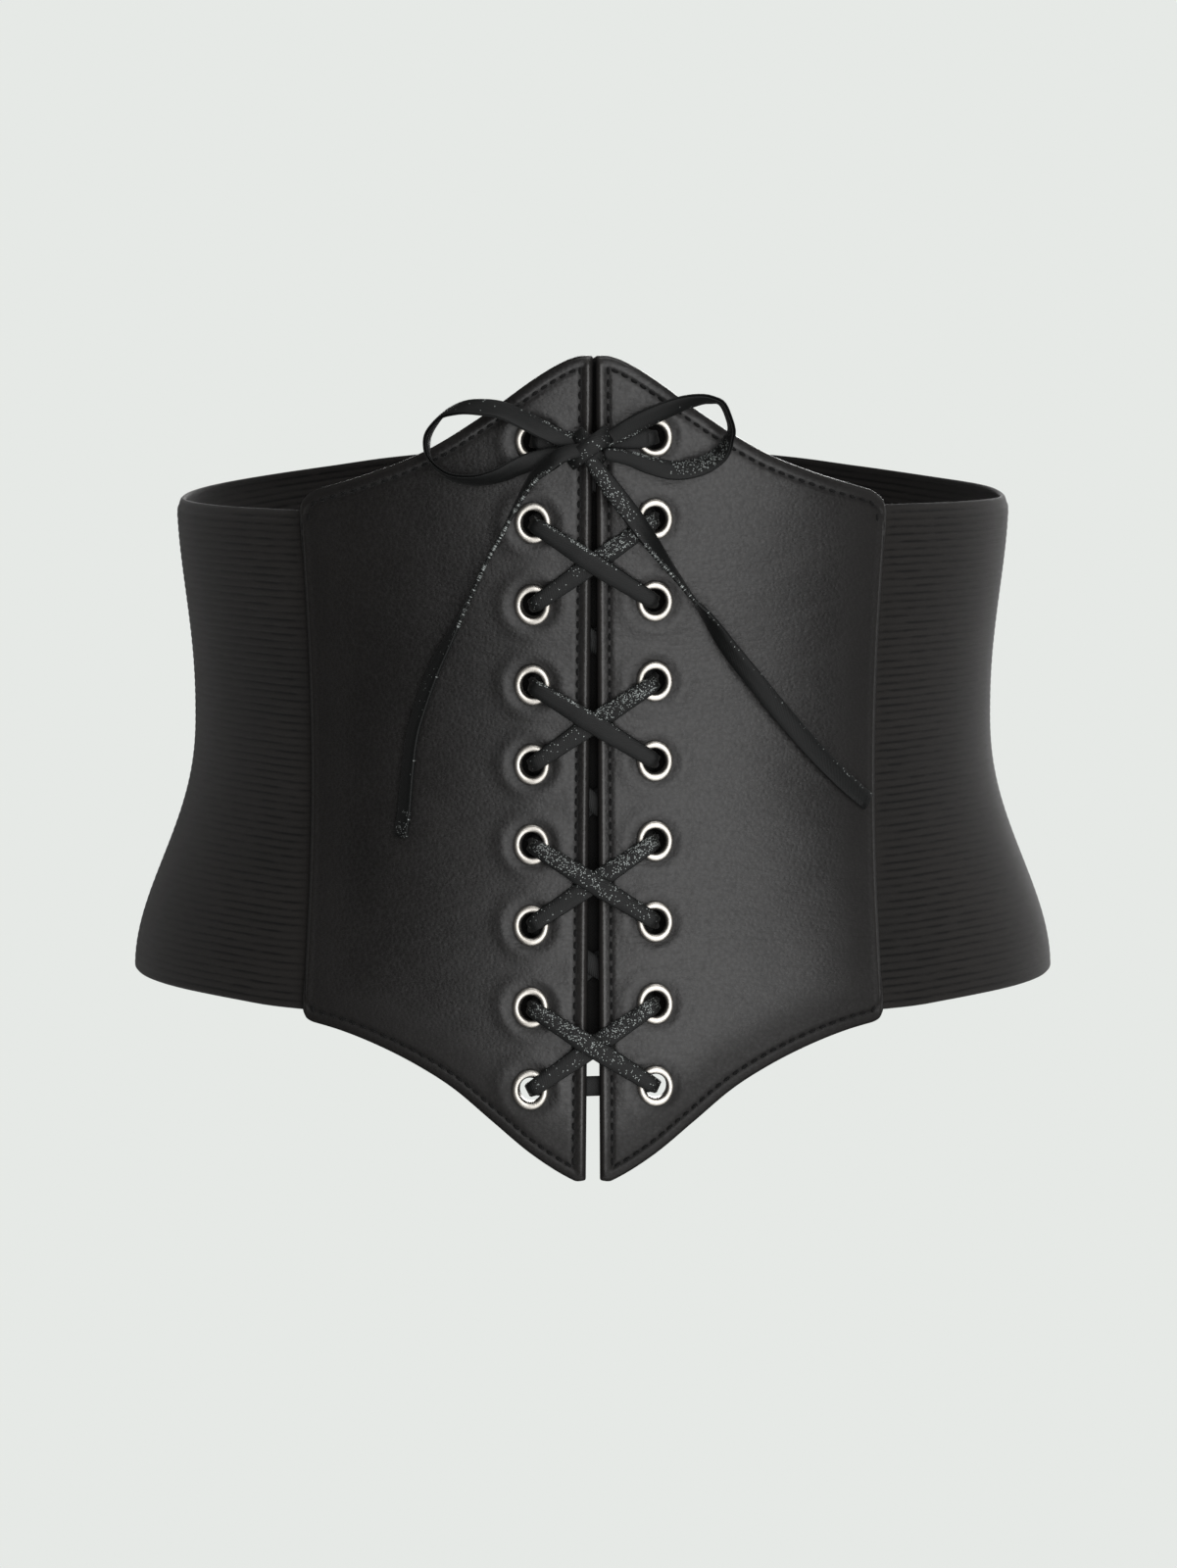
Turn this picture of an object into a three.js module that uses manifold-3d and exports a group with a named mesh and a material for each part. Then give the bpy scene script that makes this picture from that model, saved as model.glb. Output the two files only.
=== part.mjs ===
// Corset belt: two stiff front panels laced together, with a wide elastic round the back.
// Millimetres, +Z up. The front faces -Y and the origin is the centre of the waist at its narrowest level.
import * as THREE from 'three';
import { mergeVertices } from 'three/addons/utils/BufferGeometryUtils.js';
import Module from 'manifold-3d';

const wasm = await Module();
wasm.setup();

// Form of the waist: half sizes at the narrowest level, and what the top edge and the hips add to them
const WAIST_HALF_WIDTH = 112;
const WAIST_HALF_DEPTH = 84;
const TOP_FLARE_WIDTH = 4.6;
const TOP_FLARE_DEPTH = 4;
const HIP_FLARE_WIDTH = 17.7;
const HIP_FLARE_DEPTH = 9;
const HIP_DEPTH_REACH = 96;
const PLAN_POWER = 2.2;
const TOP_FLARE_POWER = 1.2;
const HIP_FLARE_POWER = 1.33;

// Clearance between pieces that touch on the real belt
const CLEARANCE = 0.3;

// Elastic
const BAND_ABOVE_WAIST = 58;
const BAND_BELOW_WAIST = 72.5;
const BACK_RISE = 12;
const ELASTIC_WALL = 1.5;
const ELASTIC_TUCK = 9;

// Edges of the elastic, from a side seam (0) to the centre back (0.5): what each adds, in shares of the rise
const BAND_EDGES = [
  { across: 0, bottom: -0.19, topLeft: 0, topRight: 0.135 },
  { across: 0.035, bottom: -0.16, topLeft: 0.01, topRight: 0.135 },
  { across: 0.055, bottom: -0.105, topLeft: 0.02, topRight: 0.135 },
  { across: 0.08, bottom: -0.06, topLeft: 0.03, topRight: 0.135 },
  { across: 0.12, bottom: -0.03, topLeft: 0.055, topRight: 0.14 },
  { across: 0.17, bottom: -0.01, topLeft: 0.1, topRight: 0.16 },
  { across: 0.23, bottom: 0.07, topLeft: 0.22, topRight: 0.29 },
  { across: 0.3, bottom: 0.27, topLeft: 0.42, topRight: 0.44 },
  { across: 0.36, bottom: 0.56, topLeft: 0.65, topRight: 0.66 },
  { across: 0.4, bottom: 0.76, topLeft: 0.85, topRight: 0.85 },
  { across: 0.45, bottom: 0.93, topLeft: 1.03, topRight: 1.03 },
  { across: 0.5, bottom: 1, topLeft: 1.1, topRight: 1.1 },
];

// Front panels
const PANEL_WALL = 2.3;
const PANEL_WIDTH = 74.8;
const PANEL_EDGE_FLARE = 2.4;
const PANEL_EDGE_NARROWEST_Z = -10;
const PEAK_RISE = 41;
const TIP_DROP = 45;
const OUTER_CORNER = 5.5;
const INNER_CORNER = 0.6;
const ROLLED_EDGE = 0.7;
const ROLLED_SHARE = 0.006;
const PANEL_INNER_FACE = CLEARANCE;
const PANEL_OUTER_FACE = PANEL_INNER_FACE + PANEL_WALL;

// Top outline of a panel, from the centre gap to the side seam: shares of the panel's width and of its peak
const PANEL_TOP = [
  { across: 0, rise: 1 },
  { across: 0.05, rise: 0.995 },
  { across: 0.11, rise: 0.948 },
  { across: 0.2, rise: 0.84 },
  { across: 0.3, rise: 0.7 },
  { across: 0.4, rise: 0.57 },
  { across: 0.5, rise: 0.452 },
  { across: 0.6, rise: 0.355 },
  { across: 0.74, rise: 0.255 },
  { across: 0.88, rise: 0.172 },
  { across: 1, rise: 0.11 },
];

// Bottom outline in the same way: shares of the panel's width and of the drop of its tip
const PANEL_BOTTOM = [
  { across: 0, drop: 1 },
  { across: 0.04, drop: 1 },
  { across: 0.18, drop: 0.85 },
  { across: 0.32, drop: 0.653 },
  { across: 0.45, drop: 0.472 },
  { across: 0.58, drop: 0.34 },
  { across: 0.72, drop: 0.232 },
  { across: 0.86, drop: 0.152 },
  { across: 1, drop: 0.1 },
];

// The two sides: how far the inner edge and the line of eyelets stand from the centre at the peak and the
// tip, and how far the eyelets sit above the other side's
const SIDES = {
  left: { sign: -1, edgeAtPeak: 0, edgeAtTip: 1.9, eyeletsAtPeak: 15.2, eyeletsAtTip: 16.5, eyeletLift: 0 },
  right: { sign: 1, edgeAtPeak: 0.55, edgeAtTip: 1.8, eyeletsAtPeak: 15.8, eyeletsAtTip: 16.4, eyeletLift: 1 },
};

// Eyelets
const EYELET_ROWS = 9;
const EYELET_TOP_Z = 76.9;
const EYELET_PITCH = 21.25;
const EYELET_HOLE = 2.9;
const EYELET_TUBE_WALL = 0.5;
const EYELET_FLANGE = 4.55;
const EYELET_BACK_FLANGE = 4.3;
const EYELET_FRONT_HEIGHT = 0.85;
const EYELET_BACK_HEIGHT = 0.55;
const EYELET_SIDES = 12;
const FLANGE_AT_HOLE = 0.7;
const FLANGE_CROWN = 0.3;

// Lace
const LACE_WIDTH = 5;
const LACE_THICKNESS = 1.1;
const LACE_BEND_ROOM = 0.45;
const CROSSING_REACH = 1.1 * LACE_WIDTH;
const HOLE_ENTRY = 0.3;
const HOLE_DIP = 0.35;
const HOLE_FRONT_GAP = 0.4;
const HOLE_BACK_GAP = 0.2;
const HOLE_TURNS = [0.15, 0.85];

// Knot: its centre across, up and out from the form, and its half sizes
const KNOT_CENTRE = { x: -1, z: 75.3, out: 6.9 };
const KNOT_HALF = { x: 4.6, y: 3.9, z: 5.8 };

// Strip behind the lacing, sewn to the left panel and free on the right
const STRIP_WALL = 1.2;
const STRIP_BOTTOM_Z = -82;
const STRIP_TOP_INSET = 0.7;
const STRIP_SEWN_EDGE = 34;
const STRIP_SEWN_END = 28.5;
const STRIP_STEP_END = 22;
const STRIP_FREE_EDGE = 24;

// How finely the walls are divided: spans across, or round, and up
const PANEL_SPANS = { across: 9, up: 17 };
const BAND_SPANS = { round: 20, up: 8 };
const STRIP_SPANS = { across: 7, up: 14 };
const KNOT_SPANS = { round: 14, up: 9 };

const COLOURS = {
  leather: { color: 0x1b1a1a, roughness: 0.45, metalness: 0 },
  elastic: { color: 0x26221f, roughness: 0.85, metalness: 0 },
  metal: { color: 0xc9c5bd, roughness: 0.22, metalness: 1 },
  lace: { color: 0x141515, roughness: 0.4, metalness: 0 },
  strip: { color: 0x121212, roughness: 0.9, metalness: 0 },
};

const lerp = THREE.MathUtils.lerp;
const UP = new THREE.Vector3(0, 1, 0);

function smooth(share) {
  return THREE.MathUtils.smoothstep(share, 0, 1);
}

function halfSizes(z) {
  const top = smooth(z / BAND_ABOVE_WAIST) ** TOP_FLARE_POWER;
  const hip = smooth(-z / BAND_BELOW_WAIST) ** HIP_FLARE_POWER;
  const belly = smooth(-z / HIP_DEPTH_REACH) ** HIP_FLARE_POWER;
  return {
    width: WAIST_HALF_WIDTH + TOP_FLARE_WIDTH * top + HIP_FLARE_WIDTH * hip,
    depth: WAIST_HALF_DEPTH + TOP_FLARE_DEPTH * top + HIP_FLARE_DEPTH * belly,
  };
}

function frontY(x, z) {
  const half = halfSizes(z);
  return -half.depth * (1 - Math.abs(x / half.width) ** PLAN_POWER) ** (1 / PLAN_POWER);
}

// The form's outward direction, from its slopes over a short step each way
function frontNormal(x, z, step = 0.5) {
  const slopeX = (frontY(x + step, z) - frontY(x - step, z)) / (2 * step);
  const slopeZ = (frontY(x, z + step) - frontY(x, z - step)) / (2 * step);
  return new THREE.Vector3(slopeX, -1, slopeZ).normalize();
}

// A point of the front, out millimetres outside the form
function onFront(x, z, out) {
  return new THREE.Vector3(x, frontY(x, z), z).addScaledVector(frontNormal(x, z), out);
}

// A point all round the form: angle 0 is +X and a right angle is the back
function onRing(angle, z, out) {
  const half = halfSizes(z);
  const c = Math.cos(angle);
  const s = Math.sin(angle);
  const x = Math.sign(c) * Math.abs(c) ** (2 / PLAN_POWER);
  const y = Math.sign(s) * Math.abs(s) ** (2 / PLAN_POWER);
  const normal = new THREE.Vector3(
    (Math.sign(x) * Math.abs(x) ** (PLAN_POWER - 1)) / half.width,
    (Math.sign(y) * Math.abs(y) ** (PLAN_POWER - 1)) / half.depth,
    0,
  ).normalize();
  return new THREE.Vector3(x * half.width, y * half.depth, z).addScaledVector(normal, out);
}

// Reads one column of a table at a share across, on a smooth curve through its rows
function readTable(table, column, across) {
  const last = table.length - 1;
  const after = table.findIndex((row) => row.across > across);
  const i = after < 0 ? last - 1 : Math.max(after - 1, 0);
  const slopeAt = (k) => {
    const before = table[Math.max(k - 1, 0)];
    const next = table[Math.min(k + 1, last)];
    return (next[column] - before[column]) / (next.across - before.across);
  };
  const span = table[i + 1].across - table[i].across;
  const u = (across - table[i].across) / span;
  const bend = u * u * (3 - 2 * u);
  const start = u * (1 - u) * (1 - u) * span * slopeAt(i);
  const end = u * u * (1 - u) * span * slopeAt(i + 1);
  return lerp(table[i][column], table[i + 1][column], bend) + start - end;
}

// How far a round corner takes an outline back at a distance from the piece's side
function cornerCut(distance, radius) {
  const inside = Math.max(radius - distance, 0);
  return radius - Math.sqrt(radius * radius - inside * inside);
}

function signedVolume(positions, index) {
  const [a, b, c] = [new THREE.Vector3(), new THREE.Vector3(), new THREE.Vector3()];
  let volume = 0;
  for (let i = 0; i < index.length; i += 3) {
    a.fromArray(positions, index[i] * 3);
    b.fromArray(positions, index[i + 1] * 3);
    c.fromArray(positions, index[i + 2] * 3);
    volume += a.dot(b.cross(c)) / 6;
  }
  return volume;
}

// A closed wall between two faces of a grid. place(s, t, face) gives a point for face 0, outer, or 1, inner.
function wallGeometry(across, up, place) {
  const positions = [];
  for (const face of [0, 1]) {
    for (const t of up) {
      for (const s of across) {
        positions.push(...place(s, t, face).toArray());
      }
    }
  }
  const columns = across.length;
  const rows = up.length;
  const at = (i, j, face) => (face * rows + j) * columns + i;
  const index = [];
  const quad = (a, b, c, d) => index.push(a, b, c, a, c, d);
  for (let j = 0; j < rows - 1; j++) {
    for (let i = 0; i < columns - 1; i++) {
      quad(at(i, j, 0), at(i + 1, j, 0), at(i + 1, j + 1, 0), at(i, j + 1, 0));
      quad(at(i, j, 1), at(i, j + 1, 1), at(i + 1, j + 1, 1), at(i + 1, j, 1));
    }
    quad(at(0, j, 0), at(0, j + 1, 0), at(0, j + 1, 1), at(0, j, 1));
    const i = columns - 1;
    quad(at(i, j, 0), at(i, j, 1), at(i, j + 1, 1), at(i, j + 1, 0));
  }
  for (let i = 0; i < columns - 1; i++) {
    quad(at(i, 0, 0), at(i, 0, 1), at(i + 1, 0, 1), at(i + 1, 0, 0));
    quad(at(i, rows - 1, 0), at(i + 1, rows - 1, 0), at(i + 1, rows - 1, 1), at(i, rows - 1, 1));
  }
  if (signedVolume(positions, index) < 0) index.reverse();
  const geometry = new THREE.BufferGeometry();
  geometry.setAttribute('position', new THREE.Float32BufferAttribute(positions, 3));
  geometry.setIndex(index);
  return geometry;
}

function shares(count) {
  return Array.from({ length: count + 1 }, (_, i) => i / count);
}

function toSolid(geometry) {
  const bare = geometry.clone();
  bare.deleteAttribute('normal');
  bare.deleteAttribute('uv');
  const merged = mergeVertices(bare, 1e-4);
  return new wasm.Manifold(
    new wasm.Mesh({
      numProp: 3,
      vertProperties: merged.attributes.position.array,
      triVerts: new Uint32Array(merged.index.array),
    }),
  );
}

function toGeometry(solid) {
  const mesh = solid.getMesh();
  const geometry = new THREE.BufferGeometry();
  const positions = new Float32Array(mesh.vertProperties);
  geometry.setAttribute('position', new THREE.BufferAttribute(positions, 3));
  geometry.setIndex(new THREE.BufferAttribute(new Uint32Array(mesh.triVerts), 1));
  return geometry;
}

const group = new THREE.Group();

function addPiece(name, geometry, look) {
  const flat = geometry.index ? geometry.toNonIndexed() : geometry;
  flat.deleteAttribute('uv');
  flat.computeVertexNormals();
  const mesh = new THREE.Mesh(flat, new THREE.MeshStandardMaterial(look));
  mesh.name = name;
  group.add(mesh);
  return mesh;
}

// Outline of a panel
const PEAK_Z = BAND_ABOVE_WAIST + PEAK_RISE;
const TIP_Z = -BAND_BELOW_WAIST - TIP_DROP;

function cornersAt(across) {
  const outer = cornerCut((1 - across) * PANEL_WIDTH, OUTER_CORNER);
  return outer + cornerCut(across * PANEL_WIDTH, INNER_CORNER);
}

function panelTop(across) {
  return BAND_ABOVE_WAIST + PEAK_RISE * readTable(PANEL_TOP, 'rise', across) - cornersAt(across);
}

function panelBottom(across) {
  return -BAND_BELOW_WAIST - TIP_DROP * readTable(PANEL_BOTTOM, 'drop', across) + cornersAt(across);
}

function upThePanel(z) {
  return (z - TIP_Z) / (PEAK_Z - TIP_Z);
}

function innerEdge(side, z) {
  return lerp(side.edgeAtTip, side.edgeAtPeak, upThePanel(z));
}

function sideSeam(z) {
  const away = (z - PANEL_EDGE_NARROWEST_Z) / (BAND_ABOVE_WAIST - PANEL_EDGE_NARROWEST_Z);
  return PANEL_WIDTH + PANEL_EDGE_FLARE * away * away;
}

// Eyelet places: rows from the top, on a line that leans a little, as the inner edge does
function eyeletPlace(side, row) {
  const z = EYELET_TOP_Z - EYELET_PITCH * row + side.eyeletLift;
  return { x: side.sign * lerp(side.eyeletsAtTip, side.eyeletsAtPeak, upThePanel(z)), z };
}

// The turn that points a shape's own +Y out of the form
function outwardTurn(place) {
  return new THREE.Quaternion().setFromUnitVectors(UP, frontNormal(place.x, place.z));
}

function alongAxis(geometry, place, out) {
  const middle = onFront(place.x, place.z, out).toArray();
  return geometry.applyQuaternion(outwardTurn(place)).translate(...middle);
}

// A panel: a wall with rolled edges, cut through at each eyelet
function panelGeometry(side) {
  const inset = (mm) => mm / PANEL_WIDTH;
  const across = [
    0,
    inset(0.35 * INNER_CORNER),
    inset(INNER_CORNER),
    ...shares(PANEL_SPANS.across).map((s) => lerp(inset(2.5 * INNER_CORNER), 1 - inset(OUTER_CORNER), s)),
    1 - inset(0.45 * OUTER_CORNER),
    1 - inset(0.12 * OUTER_CORNER),
    1,
  ];
  const up = [0, ROLLED_SHARE, ...shares(PANEL_SPANS.up).slice(1, -1), 1 - ROLLED_SHARE, 1];
  const place = (s, t, face) => {
    const z = lerp(panelBottom(s), panelTop(s), t);
    const x = lerp(innerEdge(side, z), sideSeam(z), s);
    const atEdge = s === 0 || s === 1 || t === 0 || t === 1;
    const roll = atEdge ? ROLLED_EDGE : 0;
    const out = face === 0 ? PANEL_OUTER_FACE - roll : PANEL_INNER_FACE + roll;
    return onFront(side.sign * x, z, out);
  };
  let solid = toSolid(wallGeometry(across, up, place));
  const flatToFlat = EYELET_HOLE + EYELET_TUBE_WALL + CLEARANCE;
  const radius = flatToFlat / Math.cos(Math.PI / EYELET_SIDES);
  for (let row = 0; row < EYELET_ROWS; row++) {
    const drill = new THREE.CylinderGeometry(radius, radius, 4 * PANEL_WALL, EYELET_SIDES);
    const middle = (PANEL_INNER_FACE + PANEL_OUTER_FACE) / 2;
    solid = solid.subtract(toSolid(alongAxis(drill, eyeletPlace(side, row), middle)));
  }
  return toGeometry(solid);
}

// An eyelet: a domed front flange, a tube through the panel and a rolled back, turned round its axis
function eyeletGeometry() {
  const tube = EYELET_HOLE + EYELET_TUBE_WALL;
  const seat = PANEL_OUTER_FACE + CLEARANCE;
  const back = PANEL_INNER_FACE - CLEARANCE;
  const front = new THREE.Vector2(EYELET_HOLE, seat + FLANGE_AT_HOLE * EYELET_FRONT_HEIGHT);
  const profile = [
    front,
    new THREE.Vector2(EYELET_HOLE, back - FLANGE_AT_HOLE * EYELET_BACK_HEIGHT),
    new THREE.Vector2(lerp(tube, EYELET_BACK_FLANGE, FLANGE_CROWN), back - EYELET_BACK_HEIGHT),
    new THREE.Vector2(EYELET_BACK_FLANGE, back),
    new THREE.Vector2(tube, back),
    new THREE.Vector2(tube, seat),
    new THREE.Vector2(EYELET_FLANGE, seat),
    new THREE.Vector2(lerp(tube, EYELET_FLANGE, FLANGE_CROWN), seat + EYELET_FRONT_HEIGHT),
    front,
  ];
  return new THREE.LatheGeometry(profile, EYELET_SIDES);
}

// A ribbon's route: stations with a point and the direction of the ribbon's width there
class RibbonRoute extends THREE.Curve {
  constructor(stations) {
    super();
    this.stations = stations;
  }

  getSpacedPoints() {
    return this.stations.map((station) => station.point.clone());
  }

  computeFrenetFrames() {
    const frames = { tangents: [], normals: [], binormals: [] };
    const last = this.stations.length - 1;
    this.stations.forEach((station, i) => {
      const before = this.stations[Math.max(i - 1, 0)].point;
      const next = this.stations[Math.min(i + 1, last)].point;
      const tangent = next.clone().sub(before).normalize();
      const lean = station.width.dot(tangent);
      const width = station.width.clone().addScaledVector(tangent, -lean).normalize();
      if (i > 0 && width.dot(frames.normals[i - 1]) < 0) width.negate();
      frames.tangents.push(tangent);
      frames.normals.push(width);
      frames.binormals.push(new THREE.Vector3().crossVectors(tangent, width));
    });
    return frames;
  }
}

function ribbonGeometry(stations, section) {
  const outline = section.map(([w, t]) => new THREE.Vector2(w * LACE_WIDTH, t * LACE_THICKNESS));
  return new THREE.ExtrudeGeometry(new THREE.Shape(outline), {
    steps: stations.length - 1,
    bevelEnabled: false,
    extrudePath: new RibbonRoute(stations),
  });
}

// Sections of the lace, in shares of its width and thickness
const HELD_SECTION = [[0.5, 0], [0.4, 0.5], [-0.4, 0.5], [-0.5, 0], [-0.4, -0.5], [0.4, -0.5]];
const FREE_SECTION = [
  [0.5, 0.2], [0.42, 0.5], [-0.42, 0.5], [-0.5, 0.2],
  [-0.5, -0.2], [-0.42, -0.5], [0.42, -0.5], [0.5, -0.2],
];

// Heights of the lace's middle out from the form: over a flange, and where one strand crosses another
const HALF_LACE = LACE_THICKNESS / 2;
const FRONT_AT_EYELET = PANEL_OUTER_FACE + EYELET_FRONT_HEIGHT + 2 * CLEARANCE + HALF_LACE;
const FRONT_UNDER = PANEL_OUTER_FACE + 2 * CLEARANCE + HALF_LACE;
const FRONT_OVER = FRONT_UNDER + LACE_THICKNESS + 2 * CLEARANCE;
const BACK_AT_EYELET = PANEL_INNER_FACE - EYELET_BACK_HEIGHT - 2 * CLEARANCE - HALF_LACE;
const BACK_UNDER = PANEL_INNER_FACE - 2 * CLEARANCE - HALF_LACE;
const BACK_OVER = BACK_UNDER - LACE_THICKNESS - 2 * CLEARANCE;
const STRIP_OUTER_FACE = BACK_OVER - HALF_LACE - CLEARANCE;

// One leg of the lacing between two places, with the ribbon flat against the form
function legStations(from, to, atEyelet, atMiddle, startsInHole, endsInHole) {
  const start = new THREE.Vector2(from.x, from.z);
  const end = new THREE.Vector2(to.x, to.z);
  const length = start.distanceTo(end);
  const bend = LACE_THICKNESS + LACE_BEND_ROOM;
  const turned = (atEyelet + (PANEL_INNER_FACE + PANEL_OUTER_FACE) / 2) / 2;
  const dip = lerp(atEyelet, turned, HOLE_DIP);
  const rows = [];
  if (startsInHole) rows.push([HOLE_ENTRY * bend, dip]);
  rows.push([bend, atEyelet]);
  rows.push([length / 2 - CROSSING_REACH, atMiddle]);
  rows.push([length / 2, atMiddle]);
  rows.push([length / 2 + CROSSING_REACH, atMiddle]);
  rows.push([length - bend, atEyelet]);
  if (endsInHole) rows.push([length - HOLE_ENTRY * bend, dip]);
  const direction = end.clone().sub(start).normalize();
  return rows.map(([distance, out]) => {
    const x = start.x + direction.x * distance;
    const z = start.y + direction.y * distance;
    const along = new THREE.Vector3(direction.x, 0, direction.y);
    return { point: onFront(x, z, out), width: along.cross(frontNormal(x, z)) };
  });
}

// Two stations inside a hole, where the ribbon turns from one leg's width to the next one's
function holeStations(place, fromFront, widthBefore, widthAfter) {
  const near = PANEL_OUTER_FACE + HOLE_FRONT_GAP;
  const far = PANEL_INNER_FACE - HOLE_BACK_GAP;
  const outs = fromFront ? [near, far] : [far, near];
  const after = widthAfter.clone();
  if (after.dot(widthBefore) < 0) after.negate();
  return outs.map((out, i) => ({
    point: onFront(place.x, place.z, out),
    width: widthBefore.clone().lerp(after, HOLE_TURNS[i]),
  }));
}

// The lace's way from the knot down one side of each cross, along the bar behind the last row and up again
function lacingStations() {
  const knot = { x: KNOT_CENTRE.x, z: EYELET_TOP_Z };
  const visits = [];
  for (let row = 0; row < EYELET_ROWS; row++) {
    visits.push(eyeletPlace(row % 2 ? SIDES.right : SIDES.left, row));
  }
  for (let row = EYELET_ROWS - 1; row >= 0; row--) {
    visits.push(eyeletPlace(row % 2 ? SIDES.left : SIDES.right, row));
  }
  const places = [knot, ...visits, knot];
  const legs = [];
  for (let i = 0; i < places.length - 1; i++) {
    const front = i % 2 === 0;
    const atEyelet = front ? FRONT_AT_EYELET : BACK_AT_EYELET;
    const goesDown = i < EYELET_ROWS;
    const isBar = i === EYELET_ROWS;
    const toKnot = i === 0 || i === places.length - 2;
    const under = front ? FRONT_UNDER : BACK_UNDER;
    const over = front ? FRONT_OVER : BACK_OVER;
    let atMiddle = goesDown ? under : over;
    if (isBar || toKnot) atMiddle = atEyelet;
    const endsInHole = i < places.length - 2;
    legs.push(legStations(places[i], places[i + 1], atEyelet, atMiddle, i > 0, endsInHole));
  }
  const stations = [...legs[0]];
  for (let i = 1; i < legs.length; i++) {
    const last = legs[i - 1][legs[i - 1].length - 1];
    stations.push(...holeStations(places[i], i % 2 === 1, last.width, legs[i][0].width));
    stations.push(...legs[i]);
  }
  return stations;
}

// Free lace. Each point is across, up, out from the form, and the turn of the ribbon from flat, in degrees.
const LACE_ROUTES = {
  bow_loop_left: [
    [-2, 75.6, 7.6, 0], [-6.3, 76.9, 7.7, 0], [-11.4, 79.4, 8.2, 15], [-16.7, 82.2, 9, 25],
    [-22.3, 84.9, 9.7, 30], [-28.1, 85.8, 10, 40], [-34, 85.1, 9.8, 65], [-38.3, 82.5, 9.2, 85],
    [-40.9, 78.6, 8.6, 90], [-41.3, 74.5, 8.2, 85], [-39.6, 70.6, 7.9, 75], [-36.1, 67.8, 7.5, 70],
    [-30.5, 66.8, 7.2, 62], [-24.7, 67.8, 7, 48], [-19.3, 70.2, 6.7, 28], [-14.2, 72.2, 6.4, 8],
    [-9.1, 73.6, 6.1, 0], [-3, 74.5, 6.1, 0],
  ],
  bow_loop_right: [
    [-1, 76, 7.6, 0], [3.4, 77.4, 7.7, 0], [7.6, 79.6, 8.2, 10], [12.4, 82.4, 8.9, 20],
    [18, 85.1, 9.6, 30], [23.8, 87.2, 10, 50], [29.1, 87.6, 10, 75], [32.4, 85.7, 9.6, 90],
    [34.1, 81.4, 8.8, 90], [33.5, 77, 8.2, 70], [31, 72.9, 7.7, 40], [25.9, 70.1, 7.2, 20],
    [20.1, 69.4, 6.8, 10], [14.2, 70.8, 6.4, 5], [8.9, 72.6, 6.1, 0], [2, 74, 6.1, 0],
  ],
  lace_tail_left: [
    [-2, 75, 9.4, 0], [-6.4, 74, 9.8, 8], [-11, 71, 10.3, 40], [-15.3, 66.9, 9.9, 65],
    [-19.3, 59.9, 9.1, 78], [-22.9, 53, 8.5, 83], [-26, 47.6, 8, 84], [-29.6, 40, 7.5, 82],
    [-33.2, 32.3, 7, 74], [-36.9, 24.7, 6.6, 56], [-40.3, 17.4, 6.2, 45], [-43.4, 8.7, 5.8, 40],
    [-45.9, 0.1, 5.5, 38], [-47.4, -10.5, 5.2, 35], [-48.4, -20.6, 4.9, 32], [-49.5, -28, 4.8, 30],
  ],
  lace_tail_right: [
    [-2, 74, 9.1, 0], [0.4, 70.7, 8.9, 0], [3.8, 65.9, 8.6, 0], [7.1, 61.4, 8.3, 5],
    [10.4, 57, 8, 12], [15, 50.6, 7.6, 40], [19.6, 44.4, 7.3, 68], [24.3, 38, 7.2, 78],
    [29.2, 31.5, 7.4, 62], [34.6, 23.1, 7.4, 35], [40.7, 14.9, 7, 20], [46.7, 7, 6.4, 12],
    [52.5, -0.2, 5.8, 8], [58.9, -7.5, 5.1, 4], [65.1, -14, 4.5, 2], [71.5, -19.8, 4, 0],
  ],
};
const ROUTE_STEPS = 20;

function freeStations(route) {
  const points = route.map(([x, z, out]) => new THREE.Vector3(x, z, out));
  const path = new THREE.CatmullRomCurve3(points, false, 'centripetal');
  return shares(ROUTE_STEPS).map((u) => {
    const flat = path.getPoint(u);
    const ahead = path.getTangent(u);
    const row = u * (route.length - 1);
    const whole = Math.min(Math.floor(row), route.length - 2);
    const turn = THREE.MathUtils.degToRad(lerp(route[whole][3], route[whole + 1][3], row - whole));
    const along = new THREE.Vector3(ahead.x, 0, ahead.y).normalize();
    const width = along.clone().cross(frontNormal(flat.x, flat.y)).applyAxisAngle(along, turn);
    return { point: onFront(flat.x, flat.y, flat.z), width };
  });
}

function knotGeometry(grow) {
  const half = new THREE.Vector3(KNOT_HALF.x + grow, KNOT_HALF.y + grow, KNOT_HALF.z + grow);
  const centre = onFront(KNOT_CENTRE.x, KNOT_CENTRE.z, KNOT_CENTRE.out);
  const ball = new THREE.SphereGeometry(1, KNOT_SPANS.round, KNOT_SPANS.up);
  return ball.rotateX(Math.PI / 2).scale(...half.toArray()).translate(...centre.toArray());
}

// Strip behind the lacing: flat against the left panel where it is sewn, then stepped back behind the strands
function stripGeometry() {
  const steps = [-STRIP_SEWN_EDGE, -STRIP_SEWN_END, -STRIP_STEP_END];
  const free = shares(STRIP_SPANS.across).map((s) => lerp(-STRIP_STEP_END, STRIP_FREE_EDGE, s)).slice(1);
  const sewn = PANEL_INNER_FACE - CLEARANCE;
  const place = (x, t, face) => {
    const top = panelTop(Math.abs(x) / PANEL_WIDTH) - STRIP_TOP_INSET;
    const back = x <= -STRIP_SEWN_END ? sewn : STRIP_OUTER_FACE;
    return onFront(x, lerp(STRIP_BOTTOM_Z, top, t), back - face * STRIP_WALL);
  };
  return wallGeometry([...steps, ...free], shares(STRIP_SPANS.up), place);
}

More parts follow.
